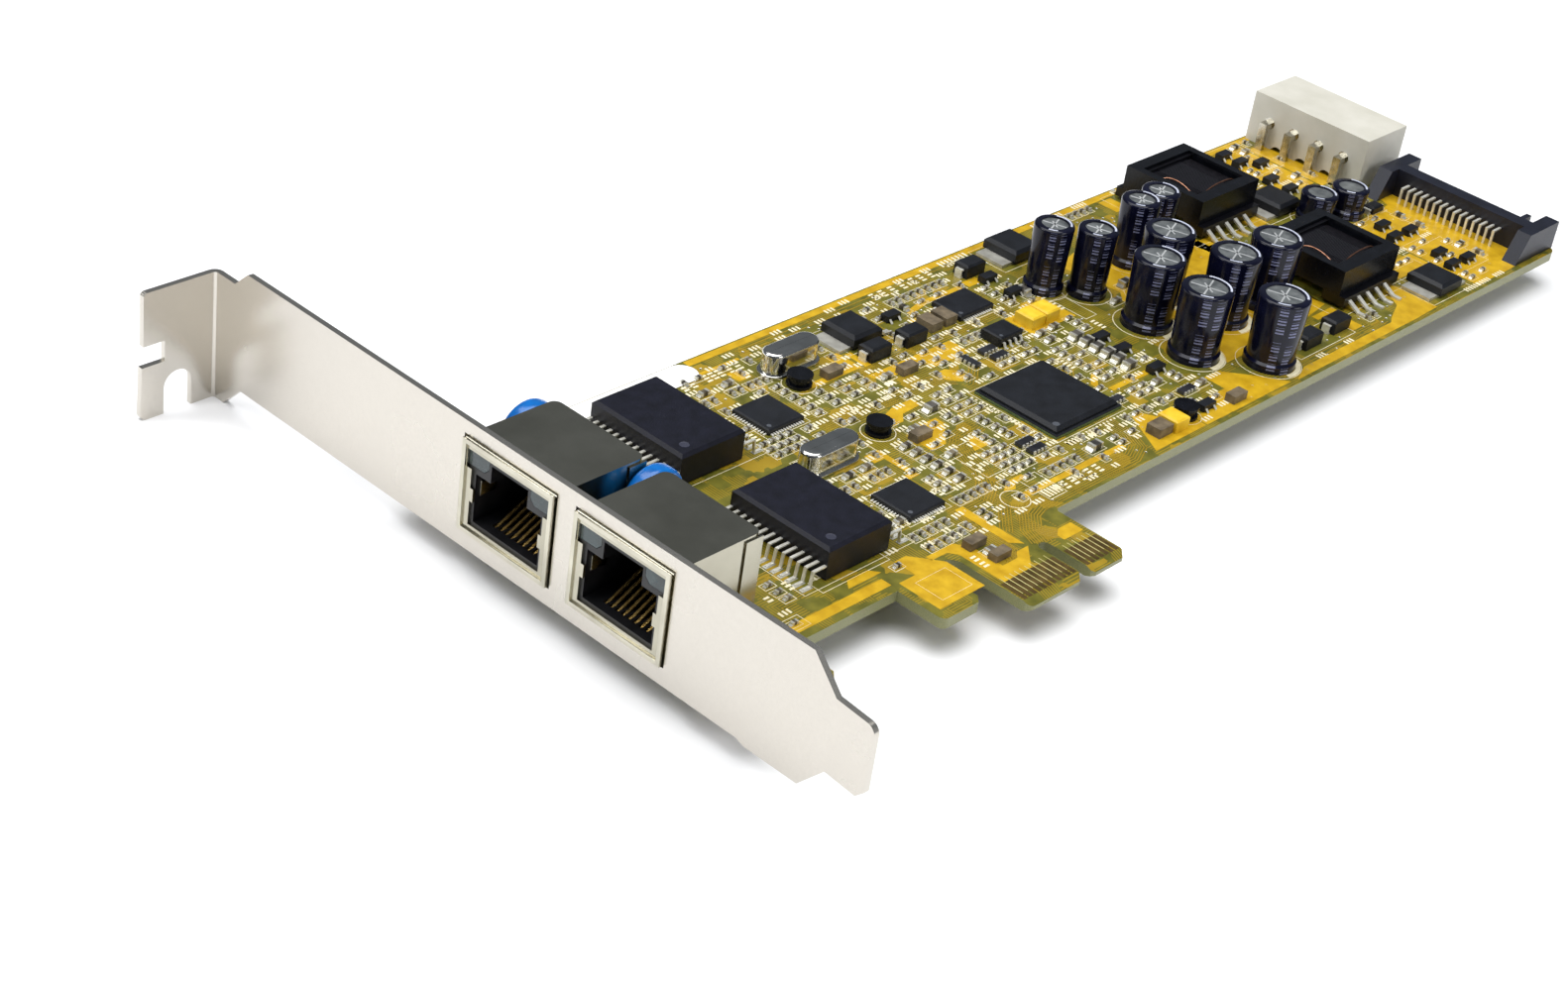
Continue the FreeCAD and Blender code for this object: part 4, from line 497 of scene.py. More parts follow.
ink = finish("cream_ink", (214, 203, 164), (240, 231, 202), 0.6, patch=900.0, gloss=0.2)
INK_TOP, LINE_WIDTH = 0.045, 0.2
hand_over(lines("printed_boxes", outlines, LINE_WIDTH, INK_TOP, closed=True), ink)

CAN_PLACES = {1: (115.1, 40.9), 2: (119.9, 36.1), 3: (134.0, 38.6), 4: (142.4, 40.6),
              5: (128.8, 29.2), 6: (120.0, 24.6), 7: (131.6, 18.8), 8: (118.4, 14.6),
              9: (141.7, 18.2), 10: (126.6, 6.5), 11: (173.9, 30.2), 12: (180.7, 28.6)}
WIDE_CANS = (6, 8, 10, 5, 7, 9)
rings = [arc(*CAN_PLACES[number], 5.0, 0, 345, 30) for number in WIDE_CANS]
rings += [arc(*CAN_PLACES[number], 4.0, 0, 345, 24) for number in (1, 2, 3, 4, 11, 12)]
rings += [arc(x, y, radius, 0, 345, 24) for x, y, radius in (
    (64.6, 4.8, 2.1), (62.0, 42.3, 2.5), (61.9, 27.2, 2.5), (102.6, 4.5, 2.5))]
hand_over(lines("printed_rings", rings, LINE_WIDTH, INK_TOP, closed=True), ink)

marks = []
for number in WIDE_CANS:
    x, y = CAN_PLACES[number]
    marks.append(arc(x, y, 4.85, -105, -5, 16) + arc(x, y, 4.1, -5, -105, 16))


def printed_bars(x, y, count, turn):
    """A short row of plain bars beside a part's place."""
    pitch, tall, thin = 0.72, 0.95, 0.36
    bars = []
    for i in range(count):
        step = (i - (count - 1) / 2.0) * pitch
        bars.append(boxed(x, y + step, tall, thin) if turn % 2 else boxed(x + step, y, thin, tall))
    return bars


for xs, ys, count, turn in (
        ((47.6, 49.3, 52.2, 53.5, 54.8, 56.7, 58.4), (50.8,), 3, 1),
        ((90.4, 92.4, 94.6, 96.8, 99.4, 101.2, 103.2), (53.5,), 3, 1),
        ((46.4, 48.4), (9.6,), 2, 0), ((50.6, 53.6), (9.0,), 2, 0), ((57.0, 60.4), (33.5,), 4, 0),
        ((62.8, 66.5, 70.4), (33.9, 32.6), 3, 0), ((76.6,), (34.0, 32.6, 31.2), 4, 0),
        ((73.2, 75.0, 76.8, 78.7, 80.5), (3.1,), 3, 1),
        ((73.2,), (39.0, 36.9, 35.2, 43.6, 41.2), 2, 0),
        ((112.6,), (39.0, 36.9, 35.2, 43.6, 41.2), 2, 1)):
    for x in xs:
        for y in ys:
            marks += printed_bars(x, y, count, turn)
for bars_place in (
        (86.2, 39.5, 3, 0), (78.0, 39.5, 3, 0), (97.4, 39.0, 3, 0), (65.8, 20.6, 3, 0),
        (66.4, 14.2, 2, 0), (66.2, 12.4, 2, 0), (72.4, 20.6, 2, 0), (80.2, 17.6, 4, 1),
        (80.2, 22.4, 5, 1), (80.2, 13.4, 4, 1), (83.4, 9.4, 4, 0), (87.4, 9.2, 3, 0),
        (91.0, 9.2, 2, 0), (99.6, 24.0, 5, 1), (99.4, 13.6, 2, 1), (113.4, 28.6, 4, 1),
        (116.4, 20.4, 3, 0), (116.0, 9.0, 4, 0), (105.6, 6.6, 3, 0), (94.4, 7.2, 2, 0),
        (112.4, 10.6, 3, 0), (97.6, 40.2, 4, 0), (103.8, 40.2, 3, 0), (109.6, 53.9, 6, 0),
        (56.4, 28.8, 5, 0), (46.6, 27.6, 3, 1), (46.4, 36.0, 3, 1), (46.4, 41.0, 3, 1),
        (57.4, 48.9, 4, 1), (86.4, 51.0, 5, 0), (88.2, 43.4, 3, 1), (135.4, 2.9, 3, 0),
        (143.0, 2.9, 3, 0), (176.4, 1.2, 6, 0), (180.0, 1.2, 5, 0), (184.6, 1.2, 4, 0),
        (176.6, 15.2, 6, 0), (170.6, 14.8, 5, 0), (186.0, 16.0, 4, 0), (181.0, 26.6, 5, 0),
        (176.4, 43.0, 4, 1), (176.6, 50.0, 5, 1), (184.4, 46.0, 4, 0), (181.4, 41.0, 4, 0),
        (41.2, 6.4, 3, 0), (30.0, 8.2, 5, 0), (20.4, 8.4, 2, 1), (24.6, 9.0, 3, 1),
        (20.0, 5.2, 3, 0), (136.0, 55.2, 5, 0), (142.6, 55.4, 5, 0), (152.0, 55.2, 3, 0),
        (127.2, 48.0, 3, 0), (166.6, 55.0, 4, 0), (58.0, 18.6, 4, 1), (57.2, 12.2, 3, 1),
        (49.0, -1.2, 2, 1), (49.0, -2.8, 2, 1), (65.2, 22.6, 3, 0)):
    marks += printed_bars(*bars_place)
marks += [boxed(69.1 + 0.65 * i, 3.2, 0.36, 1.8) for i in range(5)]
marks += [boxed(82.0 + 0.8 * i, 10.0, 0.34, 0.34) for i in range(18)]
marks += [boxed(80.2, 12.0 + 0.8 * i, 0.34, 0.34) for i in range(18)]
marks += [boxed(start + 0.85 * i, 54.6, 0.4, 1.5) for start in (107.0, 130.0) for i in range(8)]
hand_over(flat_shapes("printed_bars", marks, 0.0, 0.05), ink)


# Blank paper sticker along the upper edge, behind the sockets: glossy white paper, laid flat
# by hand.
strip = [(20.0, 51.3), (50.2, 51.3)] + arc(50.2, 53.6, 2.3, -90, 90, 12) + [(20.0, 55.9)]
hand_over(flat_shapes("blank_sticker", [strip], 0.06, 0.15),
          finish("sticker_paper", (238, 237, 232), (250, 249, 246), 0.45, patch=150.0))


# Vias: plated holes between the board's faces, each a bright ring of tin round a dark disc, which
# is painted shade for the hole's bore.
# They are drilled through the laminate and plated before the mask goes on.
random.seed(7)
via_gap, via_margin = 1.1, 0.45
via_places = []
for _ in range(900):
    x = random.uniform(44.0, 190.0)
    y = random.uniform(1.6, 54.0)
    if all(math.hypot(x - a, y - b) > via_gap for a, b, _ in via_places):
        if is_free(x, y, via_margin):
            via_places.append((x, y, 0))


def spread_out(name, model, places):
    """Copies of a modelled part at (x, y, quarter turns), each with its own mesh, in one group."""
    copies = []
    for x, y, turn in places:
        copy = model.copy()
        copy.data = model.data.copy()
        copy.location = place_of(x, y)
        copy.rotation_euler = (0.0, 0.0, math.radians(90.0 * turn))
        bpy.context.collection.objects.link(copy)
        copies.append(copy)
    settle(*copies)
    bpy.ops.object.join()
    copies[0].name = name
    copies[0].data.name = name
    bpy.data.objects.remove(model)
    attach(copies[0], "root")


def turned(sides, radius, depth, spot=(0.0, 0.0, 0.0), top=None, lean=0.0):
    """A cylinder, or a cone where the top's radius is given, leaned by some degrees."""
    bpy.ops.object.select_all(action="DESELECT")
    shape = {"vertices": sides, "depth": depth * MM, "location": spot,
             "rotation": (math.radians(lean), 0.0, 0.0)}
    if top is None:
        bpy.ops.mesh.primitive_cylinder_add(radius=radius * MM, **shape)
    else:
        bpy.ops.mesh.primitive_cone_add(radius1=radius * MM, radius2=top * MM, **shape)
    return bpy.context.object


def open_up(piece, kind, is_wanted):
    """Opens the active piece for editing, with the faces or edges selected that pass a test."""
    bpy.ops.object.mode_set(mode="EDIT")
    bpy.ops.mesh.select_mode(type=kind)
    bpy.ops.mesh.select_all(action="DESELECT")
    bpy.ops.object.mode_set(mode="OBJECT")
    mesh = piece.data
    for item in (mesh.polygons if kind == "FACE" else mesh.edges):
        item.select = is_wanted([mesh.vertices[k].co for k in item.vertices])
    bpy.ops.object.mode_set(mode="EDIT")


def above(level):
    """A test for what lies wholly above a level in millimetres."""
    return lambda corners: all(corner.z > level * MM for corner in corners)


def sink_top(piece, rim, depth):
    """Sinks the top of a low cylinder inside a rim, and leaves it open for editing."""
    open_up(piece, "FACE", above(0.0))
    bpy.ops.mesh.inset(thickness=rim * MM)
    bpy.ops.transform.translate(value=(0.0, 0.0, -depth * MM))


tin = finish("bright_tin", (186, 184, 170), (228, 226, 216), 0.24, 0.55, patch=900.0)
via = turned(8, 0.22, 0.08)
via.data.materials.append(tin)
# The second finish is painted shade: a dark disc in the sunk middle stands for the shadow inside
# the drilled hole.
via.data.materials.append(finish("via_bore_painted_shade", (30, 26, 12), (60, 50, 20), 0.6))
sink_top(via, 0.09, 0.04)
via.active_material_index = 1
bpy.ops.object.material_slot_assign()
bpy.ops.object.mode_set(mode="OBJECT")
spread_out("vias", via, via_places)


# Small chip parts: ceramic blocks with tinned end caps, soldered to pads with a fillet at
# each end. They are placed by machine and soldered in an oven.
def lump(size, centre, *materials):
    """A block shaped from a cube to its size, in millimetres, at a centre."""
    bpy.ops.object.select_all(action="DESELECT")
    bpy.ops.mesh.primitive_cube_add(size=1.0)
    block = bpy.context.object
    bpy.ops.object.mode_set(mode="EDIT")
    bpy.ops.mesh.select_all(action="SELECT")
    bpy.ops.transform.resize(value=[side * MM for side in size], center_override=(0.0, 0.0, 0.0))
    bpy.ops.transform.translate(value=[step * MM for step in centre])
    bpy.ops.object.mode_set(mode="OBJECT")
    for material in materials:
        block.data.materials.append(material)
    return block


def joined(name, *blocks):
    """Several blocks as one piece, whose first block's finishes come first."""
    pick(*blocks)
    if len(blocks) > 1:
        bpy.ops.object.join()
    blocks[0].name = name
    return blocks[0]


def chip_model(name, length, width, height, cap, body_finish):
    """One chip: body, two caps that wrap its ends, and two sloped solder fillets on pads."""
    middle = height / 2.0 + 0.03
    blocks = [lump((length - 2.0 * cap, width * 0.96, height * 0.96), (0.0, 0.0, middle),
                   body_finish)]
    for side in (-1, 1):
        blocks.append(lump((cap, width, height), (side * (length - cap) / 2.0, 0.0, middle), tin))
        fillet = lump((cap * 0.8, width * 0.9, height * 0.55),
                      (side * (length / 2.0 + cap * 0.4), 0.0, height * 0.275), tin)
        outer = (length / 2.0 + cap * 0.5) * MM
        open_up(fillet, "EDGE", lambda ends: all(
            end.z > height * 0.5 * MM and end.x * side > outer for end in ends))
        bpy.ops.transform.translate(value=(0.0, 0.0, -height * 0.42 * MM))
        bpy.ops.object.mode_set(mode="OBJECT")
        blocks.append(fillet)
    return joined(name, *blocks)


chip_body = finish("chip_ceramic", (44, 38, 30), (112, 102, 82), 0.45, patch=450.0, spread=0.1)
dark_body = finish("large_chip_ceramic", (34, 33, 32), (84, 80, 74), 0.4, patch=400.0, spread=0.1)
for size, sizes, body, places in (("small", (1.05, 0.6, 0.5, 0.3), chip_body, small_chips),
                                  ("medium", (1.65, 0.9, 0.65, 0.4), chip_body, medium_chips),
                                  ("large", (2.1, 1.35, 1.0, 0.45), dark_body, large_chips)):
    spread_out(size + "_chips", chip_model(size + "_chip", *sizes, body), places)


# Resistor arrays: a glazed black ceramic block with four tinned terminals along each side,
# soldered flat to the board.
array_blocks = [lump((3.1, 1.2, 0.5), (0.0, 0.0, 0.3),
                     finish("black_glaze", (22, 22, 26), (48, 48, 52), 0.3))]
for step in range(4):
    for side in (-1, 1):
        array_blocks.append(lump((0.42, 0.42, 0.52), (-1.2 + 0.8 * step, side * 0.62, 0.28), tin))
spread_out("resistor_arrays", joined("resistor_array", *array_blocks), arrays)


# Reference marks: small groups of plain printed bars, in the same cream ink as the outlines,
# in the spots that are still bare.
random.seed(5)
clear_x, clear_y, margin = 2.4, 1.3, 0.75
reference_marks = []
for _ in range(1500):
    x, y = random.uniform(44.5, 112.0), random.uniform(2.0, 55.0)
    if is_free(x, y, margin):
        if all(abs(x - a) > clear_x or abs(y - b) > clear_y for a, b in reference_marks):
            reference_marks.append((x, y))
bars = []
for x, y in reference_marks:
    bars += printed_bars(x, y, random.choice((2, 3, 3)), 0)
hand_over(flat_shapes("reference_marks", bars, 0.0, 0.05), ink)


# Card-edge contacts: thin hard gold over nickel on the pads of both faces, worn dull along
# their length. Strips of bare laminate lie between the pads of the upper face.
def softened(piece, offset, segments=1, **shape):
    """Bevels the active piece where it is selected, which is all over after it is made."""
    bpy.ops.object.mode_set(mode="EDIT")
    bpy.ops.mesh.bevel(offset=offset * MM, segments=segments, **shape)
    bpy.ops.object.mode_set(mode="OBJECT")
    return piece


wear_finish(finish("edge_gold", (92, 74, 40), (128, 104, 58), 0.36, 0.7, patch=700.0),
            "edge_contacts")
rib_places = [(57.05 - step, -8.05, 1) for step in range(10)]
rib_places += [(61.05 + step, -8.05, 1) for step in range(6)]
rib = lump((3.9, 0.13, 0.03), (0.0, 0.0, 0.035),
           finish("bare_laminate", (176, 166, 98), (208, 198, 136), 0.5))
spread_out("pad_gaps", softened(rib, 0.01), rib_places)


# Slot bracket: one nickel-plated steel sheet, blanked, pierced and folded. The faces are
# smooth and satin, and the sheared edges have the same tone in a finer grain.
wear_finish(sided(finish("nickel_plate", (198, 193, 184), (209, 204, 195), 0.27, 1.0,
                         patch=30.0, grain=2500.0, relief=0.001, spread=0.5),
                  (198, 193, 184), (209, 204, 195)), "bracket")
wear_finish(finish("zinc_plate", (176, 176, 172), (206, 205, 198), 0.3, 1.0, patch=800.0),
            "bracket_screws")


# Network sockets: a black moulded insert with eight gold-plated spring wires and two clear
# light pipes, in a can folded from tin-plated sheet.
def smooth(piece):
    """Smooth shading, with the true corners left sharp."""
    pick(piece)
    bpy.ops.object.shade_smooth_by_angle(angle=math.radians(40.0))


wear_finish(finish("tin_shield", (164, 160, 144), (188, 184, 168), 0.2, 1.0,
                   patch=120.0, grain=3000.0, relief=0.003), "near_jack_shield", "far_jack_shield")
rim_tin = finish("rim_tin", (178, 174, 158), (204, 200, 184), 0.16, 1.0, patch=200.0)
for place, centre_y in (("near", 14.58), ("far", 34.63)):
    rim = [lump((0.34, 0.7, 13.4), (0.0, side * 7.85, 6.75)) for side in (-1, 1)]
    rim += [lump((0.34, 15.2, 0.7), (0.0, 0.0, level)) for level in (0.4, 13.1)]
    rim += [lump((2.6, 0.16, 2.2), (2.6, side * 5.86, 6.6)) for side in (-1, 1)]
    rim = softened(joined(place + "_socket_rim", *rim), 0.07, 2)
    rim.location = place_of(-0.4, centre_y)
    settle(rim)
    smooth(rim)
    hand_over(rim, rim_tin)
wear_finish(finish("socket_moulding", (10, 10, 12), (20, 20, 24), 0.42, patch=700.0),
            "near_jack_housing", "far_jack_housing")
wear_finish(finish("gold_wire", (206, 164, 84), (240, 204, 126), 0.2, 0.85, patch=1500.0),
            "near_jack_contacts", "far_jack_contacts")
wear_finish(finish("light_pipe", (22, 36, 38), (46, 66, 68), 0.12, patch=400.0, gloss=0.7),
            "near_jack_light_pipes", "far_jack_light_pipes")


# Disc capacitors: a round ceramic wafer with two wire leads, dipped in blue resin that runs
# into a thin collar down each lead.
DISC_PLACES = {"near": (14.9, 24.605), "far": (12.6, 44.655)}
DISC_LEAD = 2.5
dip = finish("blue_dip", (2, 84, 156), (10, 112, 196), 0.22, patch=500.0, grain=900.0, relief=0.05)
for place, (centre_x, centre_y) in DISC_PLACES.items():
    disc = turned(48, 4.5, 2.8, place_of(centre_x, centre_y, 8.4), lean=90.0)
    settle(disc)
    open_up(disc, "EDGE", lambda ends: abs(ends[0].y - ends[1].y) < 0.1 * MM)
    softened(disc, 1.1, 5, profile=0.6)
    disc.data.materials.append(dip)
    legs = [disc]
    for x in (centre_x - DISC_LEAD, centre_x + DISC_LEAD):
        collar = turned(16, 0.34, 3.2, place_of(x, centre_y, 4.6), top=0.9)
        collar.data.materials.append(dip)
        leg = turned(12, 0.3, 6.0, place_of(x, centre_y, 0.6))
        leg.data.materials.append(tin)
        legs += [collar, leg]
    disc = joined(place + "_dipped_disc", *legs)
    settle(disc)
    smooth(disc)
    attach(disc, "root")
    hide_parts(place + "_disc_capacitor")


# Pulse transformers: eight small ring cores in a blue-black moulded box with drawn-in top
# edges, a moulded dimple for pin 1 and gull-wing leads on solder pads.
wear_finish(finish("transformer_moulding", (8, 9, 20), (15, 16, 31), 0.42, patch=600.0,
                   grain=5000.0, relief=0.03, gloss=0.3), "near_pulse_transformer",
            "far_pulse_transformer")
wear_finish(finish("lead_tin", (206, 204, 192), (240, 238, 228), 0.26, 0.45, patch=1200.0),
            "near_pulse_transformer_leads", "far_pulse_transformer_leads", "memory_chip_leads",
            "near_power_leads", "far_power_leads", "flat_power_contacts", "diode_leads",
            "transistor_leads")
wear_finish(finish("rolled_tin", (158, 155, 144), (206, 203, 192), 0.22, 1.0, patch=900.0),
            "four_pin_contacts")
wear_finish(finish("switch_tab_tin", (176, 174, 164), (214, 212, 202), 0.3, 0.5, patch=600.0),
            "power_switch_frames")
PULSE_YS = {"near": 15.45, "far": 41.65}
PULSE_X, PAD_ROW, PAD_PITCH = 35.1, 9.2, 1.27
dimple_finish = finish("moulded_dimple", (34, 36, 52), (52, 54, 70), 0.5)
for place, centre_y in PULSE_YS.items():
    dimple = turned(24, 0.7, 0.06, place_of(31.4, centre_y - 6.6, 4.81))
    dimple.name = place + "_pin_one_dimple"
    sink_top(dimple, 0.15, 0.03)
    bpy.ops.object.mode_set(mode="OBJECT")
    settle(dimple)
    hand_over(dimple, dimple_finish)
pads = [(PULSE_X + side * PAD_ROW, centre_y + (i - 6.5) * PAD_PITCH, 0)
        for centre_y in PULSE_YS.values() for side in (-1, 1) for i in range(14)]
pad = softened(lump((1.9, 0.8, 0.08), (0.0, 0.0, 0.02), tin), 0.03)
spread_out("transformer_pads", pad, pads)


# Crystals: a quartz plate in a drawn nickel can with round ends, resistance-welded to its
# base along a thin rim.
def round_ended(length, width, low, high, top_edge):
    """A bar with round ends between two levels, its upper edge drawn in."""
    body = lump((length, width, high - low), (0.0, 0.0, (low + high) / 2.0))
    open_up(body, "EDGE", lambda ends: abs(ends[0].z - ends[1].z) > 0.2 * MM)
    softened(body, width * 0.498, 10)
    open_up(body, "EDGE", above(high - 0.01))
    return softened(body, top_edge, 4)


can_nickel = finish("crystal_can", (196, 195, 190), (222, 221, 216), 0.14, 1.0,
                    patch=300.0, grain=1500.0, relief=0.006)
for place, x, y in (("near", 49.7, 25.7), ("far", 64.5, 46.8)):
    crystal = joined(place + "_quartz_crystal", round_ended(11.0, 4.6, 0.0, 0.5, 0.15),
                     round_ended(10.1, 3.7, 0.3, 3.7, 0.5))
    crystal.location = place_of(x, y)
    settle(crystal)
    smooth(crystal)
    hand_over(crystal, can_nickel)
    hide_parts(place + "_crystal")


# Chips: black moulding compound round a lead frame, matt from the mould, with a laser-cut
# pin-1 spot. The large one is moulded on a green laminate base.
wear_finish(finish("chip_moulding", (11, 13, 18), (20, 23, 30), 0.46, patch=500.0,
                   grain=7000.0, relief=0.02, gloss=0.35),
            "near_port_chip", "far_port_chip", "power_chip", "memory_chip",
            "power_switch_bodies", "rectifier_diodes", "small_transistors", "bridge_chip")
bridge_base = lump((15.02, 15.02, 0.42), (0.0, 0.0, 0.23))
bridge_base.name = "bridge_chip_laminate"
bridge_base.location = place_of(88.9, 18.7)
settle(bridge_base)
hand_over(softened(bridge_base, 0.05),
          finish("chip_laminate", (70, 92, 58), (104, 122, 78), 0.45, patch=1200.0))

TERMINAL_PITCH = 0.5
terminals = []
for x, y, half_x, half_y, count_x, count_y in ((51.8, 12.9, 3.5, 3.5, 13, 13),
                                               (51.9, 38.7, 3.5, 3.5, 13, 13),
                                               (99.6, 43.9, 3.8, 2.9, 13, 9)):
    for count, reach, turn in ((count_x, half_y + 0.16, 1), (count_y, half_x + 0.16, 0)):
        for i in range(count):
            along = (i - (count - 1) / 2.0) * TERMINAL_PITCH
            for out in (-reach, reach):
                terminals.append((x + along, y + out, 1) if turn else (x + out, y + along, 0))
terminal = lump((0.7, 0.26, 0.22), (0.0, 0.0, 0.11),
                finish("terminal_tin", (214, 212, 200), (244, 242, 234), 0.3, 0.25))
spread_out("chip_terminals", softened(terminal, 0.04), terminals)

spots = joined("pin_one_spots", *[
    softened(turned(20, radius, 0.02, place_of(x, y, level)), 0.008) for x, y, level, radius in (
        (82.9, 12.7, 1.351, 0.55), (49.2, 10.3, 0.901, 0.35), (49.3, 36.1, 0.901, 0.35),
        (96.6, 41.8, 0.951, 0.35), (95.5, 33.2, 1.601, 0.3))])
settle(spots)
hand_over(spots, finish("pin_one_spot", (58, 62, 70), (78, 82, 90), 0.6))


# Electrolytic capacitors: a wound foil roll in an aluminium can, under a dark shrunk sleeve
# printed with plain bars. The can is crimped over its seal and scored on top.
def sleeve_finish():
    """Dark sleeve with two columns of short plain bars on one side."""
    rows_up, strokes_each, column_half = 15.0, 3.0, 0.026
    material = finish("shrunk_sleeve", (7, 8, 22), (14, 16, 38), 0.15, patch=400.0,
                      grain=1500.0, relief=0.01, gloss=0.3)
    tree = material.node_tree
    around = add_node(tree, "UVMap", {}).outputs["UV"]
    split = add_node(tree, "SeparateXYZ", {"Vector": around})
    turn, rise = split.outputs["X"], split.outputs["Y"]
    bars = 0.0
    for middle, start in ((0.35, 0.1), (0.44, 0.45)):
        along = reckon(tree, "ADD", reckon(tree, "MULTIPLY", rise, rows_up), start)
        mark = reckon(tree, "COMPARE", turn, middle, column_half)
        for scale, limit in ((1.0, 0.7), (strokes_each, 0.5), (0.25, 0.76)):
            share = reckon(tree, "FRACT", reckon(tree, "MULTIPLY", along, scale))
            mark = reckon(tree, "MULTIPLY", mark, reckon(tree, "LESS_THAN", share, limit))
        bars = reckon(tree, "ADD", bars, mark)
    wall = reckon(tree, "GREATER_THAN", rise, 0.5)
    shown = reckon(tree, "MULTIPLY", reckon(tree, "MULTIPLY", bars, wall), 0.75)
    printed = layered(tree, shown, tree.nodes["tone"].outputs["Color"], paint(128, 132, 166))
    tree.links.new(printed, tree.nodes["Principled BSDF"].inputs["Base Color"])
    return material


sleeve = sleeve_finish()
can_top = finish("can_aluminium", (98, 102, 104), (150, 154, 154), 0.34, 0.6, patch=700.0)
# The score lines are real cuts in the top, but their bright tone is a painted highlight for the
# light they catch.
score_highlight = finish("scored_aluminium_painted_highlight", (206, 208, 208), (236, 238, 238), 0.4, 0.6)


def can_model(radius, height, is_scored):
    """One sleeved can on the board, at the middle of the card's frame."""
    crimp_depth, shoulder, rim_width, sunk = 0.35, 0.45, 1.05, 0.22
    can = turned(40, radius, height, (0.0, 0.0, height / 2.0 * MM))
    settle(can)
    can.data.materials.append(sleeve)
    can.data.materials.append(can_top)
    for level, reach in ((1.15, 1.0), (1.5, (radius - crimp_depth) / radius), (1.85, 1.0)):
        bpy.ops.object.mode_set(mode="EDIT")
        bpy.ops.mesh.select_all(action="SELECT")
        bpy.ops.mesh.bisect(plane_co=(0.0, 0.0, level * MM), plane_no=(0.0, 0.0, 1.0))
        bpy.ops.transform.resize(value=(reach, reach, 1.0), center_override=(0.0, 0.0, 0.0))
        bpy.ops.object.mode_set(mode="OBJECT")
    open_up(can, "FACE", above(height - 0.1))
    bpy.ops.mesh.inset(thickness=rim_width * MM)
    bpy.ops.mesh.extrude_region_move(TRANSFORM_OT_translate={"value": (0.0, 0.0, -sunk * MM)})
    can.active_material_index = 1
    bpy.ops.object.material_slot_assign()
    open_up(can, "EDGE", lambda ends: all(
        end.z > (height - 0.01) * MM and math.hypot(end.x, end.y) > (radius - 0.1) * MM
        for end in ends))
    softened(can, shoulder, 3)
    pieces = [can]
    if is_scored:
        # Thin bars of brightened aluminium: painted highlight along the score lines.
        for turn, reach in ((20.0, 1.9), (110.0, 1.9), (60.0, 1.0)):
            cut = lump(((radius - 1.15) * reach, 0.26, 0.05), (0.0, 0.0, height - 0.2), score_highlight)
            cut.rotation_euler = (0.0, 0.0, math.radians(turn))
            pieces.append(cut)
    can = joined("can_model", *pieces)
    settle(can)
    smooth(can)
    return can


SLIM, WIDE = 3.15, 4.0
# Pale arcs on the crimped rim of each top, at the same two angles on every can, are a painted
# highlight for the light the rim catches. These are their radii, set in from the wall.
ARC_OUTER, ARC_INNER = 0.46, 0.78
painted_rim_highlight = finish("painted_rim_highlight", (176, 182, 200), (206, 210, 224), 0.4)
rim_highlight_arcs = []
for radius, height, is_scored, numbers in (
        (SLIM, 11.1, True, (1, 2, 3)), (SLIM, 9.5, True, (4,)),
        (WIDE, 11.5, True, (5, 6, 7, 8, 9, 10)), (SLIM, 5.0, False, (11, 12))):
    model = can_model(radius, height, is_scored)
    for number in numbers:
        x, y = CAN_PLACES[number]
        for start, end in ((-62, 34), (196, 228)):
            outer = arc(x, y, radius - ARC_OUTER, start, end, 12)
            inner = arc(x, y, radius - ARC_INNER, end, start, 12)
            rim_highlight_arcs.append((height, outer + inner))
        can = model.copy()
        can.data = model.data.copy()
        can.name = "sleeved_can_%d" % number
        can.location = place_of(x, y)
        bpy.context.collection.objects.link(can)
        settle(can)
        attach(can, "root")
        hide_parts("capacitor_%d" % number)
    bpy.data.objects.remove(model)
# The arcs are thin pale plates laid on each can's rim: painted highlight.
arcs = [flat_shapes("rim_highlight_arcs", [outline], height - 0.02, height + 0.015)
        for height, outline in rim_highlight_arcs]
hand_over(joined("rim_highlight_arcs", *arcs), painted_rim_highlight)


# Power transformers: a sintered ferrite core round a taped winding, on a black moulded bobbin
# whose rails carry the leads.
ferrite = finish("sintered_ferrite", (7, 8, 12), (15, 17, 23), 0.26, patch=700.0,
                 grain=4000.0, relief=0.03, gloss=0.25)
wear_finish(ferrite, "near_power_core", "far_power_core")
wear_finish(finish("bobbin_moulding", (6, 6, 9), (14, 14, 19), 0.3, patch=700.0,
                   gloss=0.3),
            "near_power_bobbin", "far_power_bobbin")
wear_finish(finish("winding_tape", (9, 9, 14), (24, 24, 31), 0.2, patch=300.0,
                   grain=700.0, relief=0.12), "near_power_winding", "far_power_winding")


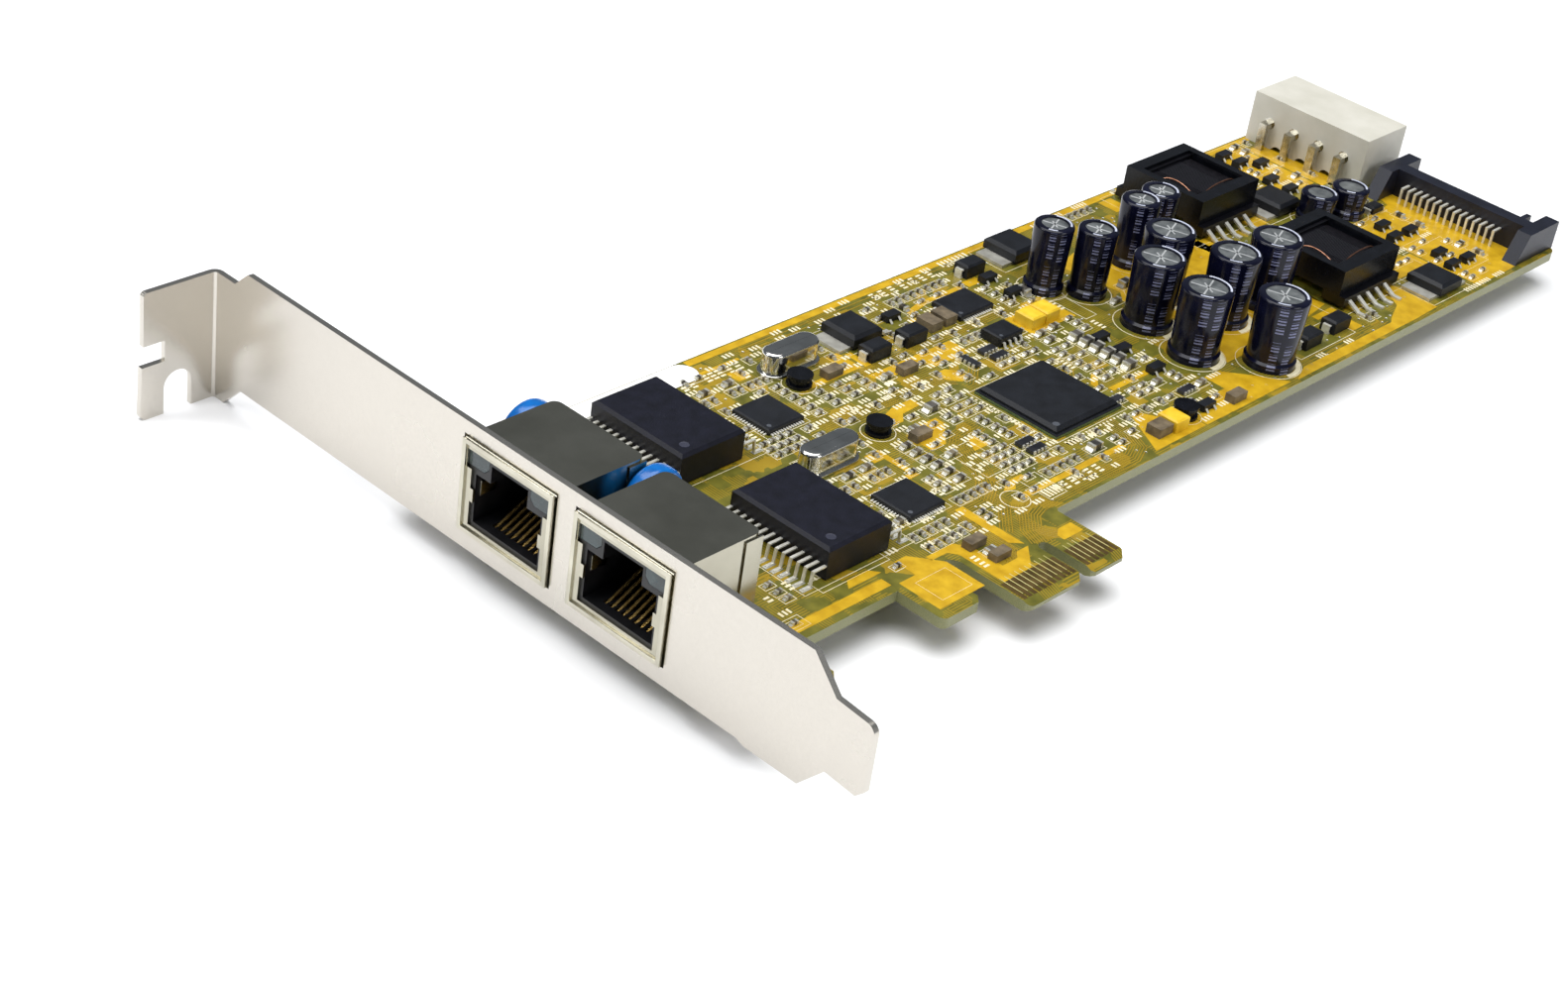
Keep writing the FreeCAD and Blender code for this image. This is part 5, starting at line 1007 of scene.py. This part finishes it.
# Windings: turns of enamelled wire laid side by side over the tape by machine, and two bare
# copper ends that are led by hand towards the pins.
for place, centre_y in (("near", 17.8), ("far", 45.1)):
    turn = lump((10.9, 0.2, 0.16), (0.0, 0.0, 5.44),
                finish(place + "_enamel", (8, 7, 11), (26, 23, 28), 0.16, patch=900.0))
    spread_out(place + "_wire_turns", softened(turn, 0.06, 2),
               [(158.1, centre_y - 4.4 + 0.28 * step, 0) for step in range(32)])
    ends = []
    for route in (((152.2, 2.6, 5.0), (152.7, 2.2, 6.0), (153.8, 0.6, 6.3), (153.4, -2.4, 5.9),
                   (152.9, -4.3, 5.2)),
                  ((163.9, -4.6, 5.1), (163.4, -4.3, 5.9), (160.2, -4.5, 6.2), (157.0, -4.4, 6.0),
                   (154.6, -4.7, 5.3))):
        wire = bpy.data.curves.new(place + "_wire_end", "CURVE")
        wire.dimensions = "3D"
        wire.bevel_depth = 0.13 * MM
        wire.bevel_resolution = 2
        wire.use_fill_caps = True
        run = wire.splines.new("NURBS")
        run.points.add(len(route) - 1)
        for point, (x, y, z) in zip(run.points, route):
            point.co = (*place_of(x, centre_y + y, z), 1.0)
        run.use_endpoint_u = True
        run.order_u = 4
        end = bpy.data.objects.new(place + "_wire_end", wire)
        bpy.context.collection.objects.link(end)
        pick(end)
        bpy.ops.object.convert(target="MESH")
        ends.append(end)
    ends = joined(place + "_wire_ends", *ends)
    smooth(ends)
    hand_over(ends, finish(place + "_bare_copper", (104, 66, 48),
                                           (164, 120, 96), 0.22, 0.8, patch=1500.0))


# Solder joints on the back: each through-hole pin of the tall capacitors and the discs ends in
# a small bright cone of solder.
LEAD_SHARE = 0.42
joint_places = []
for number in range(1, 11):
    x, y = CAN_PLACES[number]
    lead = (WIDE if number in WIDE_CANS else SLIM) * LEAD_SHARE
    joint_places += [(x - lead, y, 0), (x + lead, y, 0)]
for x, y in DISC_PLACES.values():
    joint_places += [(x - DISC_LEAD, y, 0), (x + DISC_LEAD, y, 0)]
solder = turned(12, 0.3, 0.9, (0.0, 0.0, -2.02 * MM), top=0.85)
solder.data.materials.append(tin)
settle(solder)
spread_out("solder_joints", softened(solder, 0.05), joint_places)


# Drum inductors: a ferrite spool wound with a few turns of wire and covered in dark resin,
# which has the same dull shine as the sintered cores.
wear_finish(ferrite, "drum_inductors")


# Tantalum and large ceramic capacitors: bright yellow mouldings, and fired ceramic blocks with
# tinned ends.
wear_finish(finish("yellow_moulding", (218, 174, 22), (240, 204, 60), 0.38, patch=500.0),
            "tantalum_capacitors")
wear_finish(finish("ceramic_body", (80, 70, 55), (122, 108, 86), 0.42, patch=700.0),
            "ceramic_capacitors")


# Four-pin power inlet: natural nylon housing, slightly milky, moulded in one piece round its
# bent round pins.
wear_finish(finish("ivory_nylon", (198, 195, 182), (210, 207, 196), 0.42, patch=200.0,
                   gloss=0.35), "four_pin_housing")


# Flat power inlet: one dark glass-filled moulding with two guide arms, which also holds the
# row of contacts.
wear_finish(finish("flat_inlet_moulding", (17, 19, 30), (28, 31, 44), 0.38, patch=400.0,
                   gloss=0.4), "flat_power_housing")
